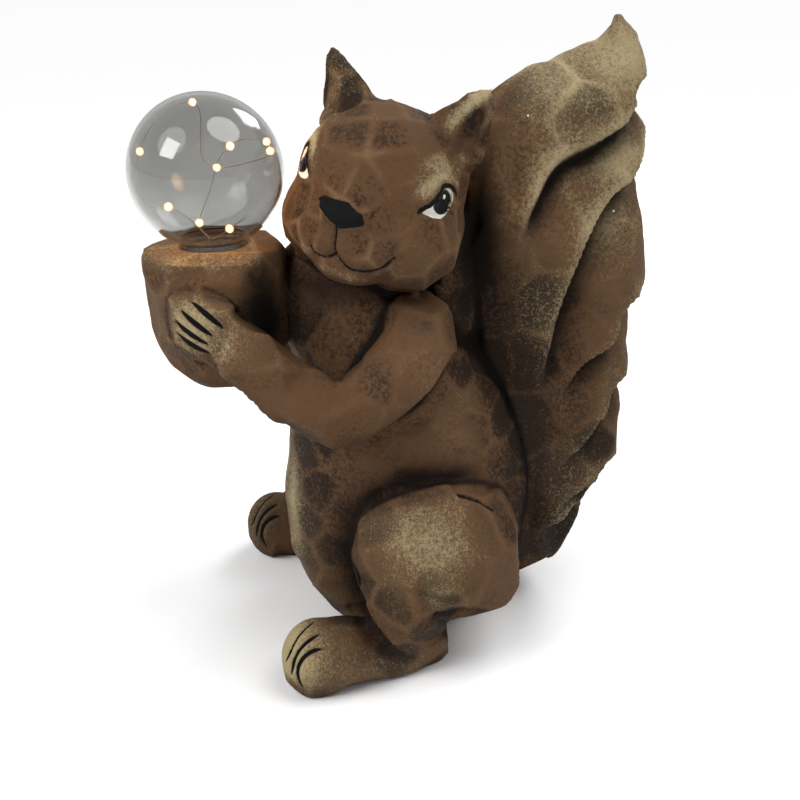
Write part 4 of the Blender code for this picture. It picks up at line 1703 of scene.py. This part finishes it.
    def drawn(
        self, nodes: Nodes, colour: bpy.types.NodeSocket, grit: bpy.types.NodeSocket
    ) -> bpy.types.NodeSocket:
        """Painted eyes with a painted highlight on each, and the black lines and nose over everything.

        Args:
            nodes: The tree.
            colour: The colour below.
            grit: The noise that frays the black lines.

        Returns:
            The finished colour.
        """
        for name, low, high, cover, paint in (
            ("white", -0.02, 0.02, 1.0, self.cream),
            ("iris", -0.02, 0.02, 1.0, self.ink),
            ("rim", -0.02, 0.03, 0.85, self.gold),
            # Painted highlight on the eye.
            ("painted_eye_glint", -0.03, 0.03, 1.0, self.cream),
        ):
            share = nodes.math("MULTIPLY", nodes.ease(nodes.attribute(name), low, high), cover)
            colour = nodes.mix(share, colour, paint.rgba())
        ink = nodes.ease(nodes.stir(nodes.attribute("ink"), (grit, 0.08)), -0.02, 0.03)
        return nodes.mix(ink, colour, self.ink.rgba())


@dataclass(frozen=True)
class GlassFinish:
    """Clear glass, greyed as painted shade for the darker surroundings seen through it."""

    # Grey colour as painted shade, darkening what is seen through the glass.
    painted_shade_tint: Paint = Paint(0.49, 0.489, 0.478)
    passed: float = 0.8
    rough: float = 0.02
    ior: float = 1.45

    def material(self) -> bpy.types.Material:
        """Build the material.

        Returns:
            The glass material.
        """
        material, nodes, shader = new_material(Slot.GLASS.value)
        shadow = nodes.add("ShaderNodeLightPath").outputs["Is Shadow Ray"]
        finish = {
            "Base Color": self.painted_shade_tint.rgba(),
            "Roughness": self.rough,
            "IOR": self.ior,
            "Transmission Weight": 1.0,
            "Alpha": nodes.math("MULTIPLY_ADD", shadow, -self.passed, 1.0),
        }
        nodes.fill(shader, finish)
        return material


@dataclass(frozen=True)
class WireFinish:
    """Bright thin wire, a little coppery."""

    colour: Paint = Paint(0.55, 0.42, 0.26)

    def material(self) -> bpy.types.Material:
        """Build the material.

        Returns:
            The wire material.
        """
        material, nodes, shader = new_material("copper_wire")
        place = nodes.add("ShaderNodeTexCoord").outputs["Object"]
        rough = nodes.math("MULTIPLY_ADD", nodes.noise(place, 300.0), 0.2, 0.25)
        nodes.fill(shader, {"Base Color": self.colour.rgba(), "Metallic": 1.0, "Roughness": rough})
        return material


@dataclass(frozen=True)
class LightFinish:
    """Warm white light, brightest on top."""

    colour: Paint = Paint(1.0, 0.62, 0.2)
    heart: Paint = Paint(1.0, 0.88, 0.55)
    strength: float = 7.0

    def material(self) -> bpy.types.Material:
        """Build the material.

        Returns:
            The light's material.
        """
        material, nodes, shader = new_material("warm_light")
        place = nodes.add("ShaderNodeTexCoord").outputs["Object"]
        edge = nodes.add("ShaderNodeLayerWeight").outputs["Facing"]
        core = nodes.math("SUBTRACT", 1.0, edge)
        speck = nodes.math("MULTIPLY_ADD", nodes.noise(place, 500.0), 0.4, 0.8)
        shade = nodes.mix(nodes.math("POWER", core, 3.0), self.colour.rgba(), self.heart.rgba())
        soft = nodes.math("POWER", core, 4.5)
        finish = {
            "Base Color": self.colour.rgba(),
            "Specular IOR Level": 0.0,
            "Emission Color": shade,
            "Alpha": nodes.math("MULTIPLY", soft, speck, clamp=True),
            "Emission Strength": self.strength,
        }
        nodes.fill(shader, finish)
        return material


@dataclass
class Studio:
    """Pale floor, soft lights and the camera.

    The camera's angles are in degrees, its focal length, its middle and the frame in pixels, and the
    sensor in millimetres.
    """

    turn: float = 75.19723
    height: float = 24.19492
    roll: float = -1.79366
    distance: float = 0.584744
    target: Triple = (0.011304, -0.000541, 0.145368)
    focal: float = 1028.665
    middle: tuple[float, float] = (411.026, 389.289)
    frame: float = 800.0
    sensor: float = 36.0
    pale: Paint = Paint(0.95, 0.95, 0.95)
    window_size: float = 0.45
    window_aim: Triple = (0.0, 0.0, 0.2)

    def model(self) -> None:
        """Set up the floor, the lights, the world and the camera."""
        bpy.context.scene.view_settings.view_transform = "Standard"
        self.floor()
        self.world()
        self.lights()
        self.camera()

    def floor(self) -> None:
        """Add the plain pale floor."""
        bpy.ops.mesh.primitive_plane_add(size=80.0, location=(0.0, 0.0, 0.0))
        floor = bpy.context.object
        floor.name = "floor"
        material, nodes, shader = new_material("pale_floor")
        nodes.fill(shader, {"Base Color": self.pale.rgba(), "Roughness": 0.85})
        set_material(floor, material)

    def world(self) -> None:
        """Light the surroundings evenly white."""
        world = bpy.data.worlds.new("studio")
        world.use_nodes = True
        nodes = Nodes(world.node_tree)
        background = world.node_tree.nodes["Background"]
        background.inputs["Color"].default_value = (1.0, 1.0, 1.0, 1.0)
        path = nodes.add("ShaderNodeLightPath")
        seen = nodes.math("MAXIMUM", path.outputs["Is Camera Ray"], path.outputs["Is Transmission Ray"])
        nodes.feed(background.inputs["Strength"], nodes.math("MULTIPLY_ADD", seen, 0.6, 0.4))
        bpy.context.scene.world = world

    def light(
        self, kind: str, name: str, place: Triple, power: float, aim: Triple | None = None
    ) -> bpy.types.Object:
        """Add a light.

        Args:
            kind: Type of the light.
            name: Name of the light.
            place: Where it is.
            power: Its strength.
            aim: Point that it shines at.

        Returns:
            The light.
        """
        bpy.ops.object.light_add(type=kind, location=place)
        light = bpy.context.object
        light.name = name
        light.data.energy = power
        if aim:
            light.rotation_euler = (Vector(aim) - Vector(place)).to_track_quat("-Z", "Y").to_euler()
        return light

    def lights(self) -> None:
        """Light the statue evenly from above, with a soft box in front and one behind."""
        for name, place, power in (
            ("sky_right", (0.25, 0.55, 1.1), 1.75),
            ("sky_left", (0.3, -0.9, 1.0), 0.75),
        ):
            sky = self.light("SUN", name, place, power, (0.0, 0.0, 0.0))
            sky.data.angle = math.radians(40.0)
        for name, place in (("window", (0.35, -0.9, 0.95)), ("back_window", (-0.6, 0.7, 0.9))):
            window = self.light("AREA", name, place, 6.0, self.window_aim)
            window.data.size = self.window_size

    def glow(self, places: list[Vector], power: float = 0.027) -> None:
        """Let the globe's lights shine on the nut.

        Args:
            places: Where the small lights are.
            power: Power of each of them.
        """
        for place in places:
            light = self.light("POINT", "glow", place, power)
            light.data.shadow_soft_size = 0.002
            light.data.color = (1.0, 0.55, 0.2)
            light.visible_glossy = False
            light.visible_transmission = False

    def camera(self) -> None:
        """Place the camera at the photograph's view."""
        turn = math.radians(self.turn)
        height = math.radians(self.height)
        roll = math.radians(self.roll)
        level = math.cos(height)
        forward = -Vector((math.sin(turn) * level, -math.cos(turn) * level, math.sin(height)))
        right = forward.cross(Vector((0.0, 0.0, 1.0))).normalized()
        up = right.cross(forward)
        across = right * math.cos(roll) + up * math.sin(roll)
        upward = -right * math.sin(roll) + up * math.cos(roll)
        eye = Vector(self.target) - forward * self.distance
        data = bpy.data.cameras.new("camera")
        data.sensor_width = self.sensor
        data.lens = self.focal * self.sensor / self.frame
        data.shift_x = (self.frame / 2.0 - self.middle[0]) / self.frame
        data.shift_y = (self.middle[1] - self.frame / 2.0) / self.frame
        data.clip_start = 0.01
        camera = bpy.data.objects.new("camera", data)
        bpy.context.scene.collection.objects.link(camera)
        axes = Matrix((across, upward, -forward)).transposed().to_4x4()
        camera.matrix_world = Matrix.Translation(eye) @ axes
        bpy.context.scene.camera = camera


def present(piece: bpy.types.Object, material: bpy.types.Material, slot: Slot, *nodes: str) -> None:
    """Dress a piece, fix it to the statue and report it.

    Args:
        piece: The finished piece.
        material: Its material.
        slot: The record's slot for the piece's finish; not used.
        nodes: The solids that it stands for.
    """
    set_material(piece, material)
    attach(piece, "root")
    if nodes:
        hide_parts(*nodes)
    LOG.info("%s: %d faces", piece.name, len(piece.data.polygons))


def main() -> None:
    """Build the statue, the globe and the studio."""
    logging.basicConfig(level=logging.INFO, format="%(name)s: %(message)s")
    statue_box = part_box("squirrel_statue")
    globe_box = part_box("glass_globe")
    figure = Casting(statue_box, globe_box).model()
    present(figure, CastFinish().material(), Slot.CAST, "squirrel_statue")
    globe = Globe(globe_box)
    present(globe.model(), GlassFinish().material(), Slot.GLASS, "glass_globe")
    present(globe.model_wire(), WireFinish().material(), Slot.GLASS)
    present(globe.model_lights(), LightFinish().material(), Slot.GLASS)
    studio = Studio()
    studio.model()
    studio.glow([globe.inner(globe.wire[i]) for i in globe.lit])


if __name__ == "__main__":
    main()
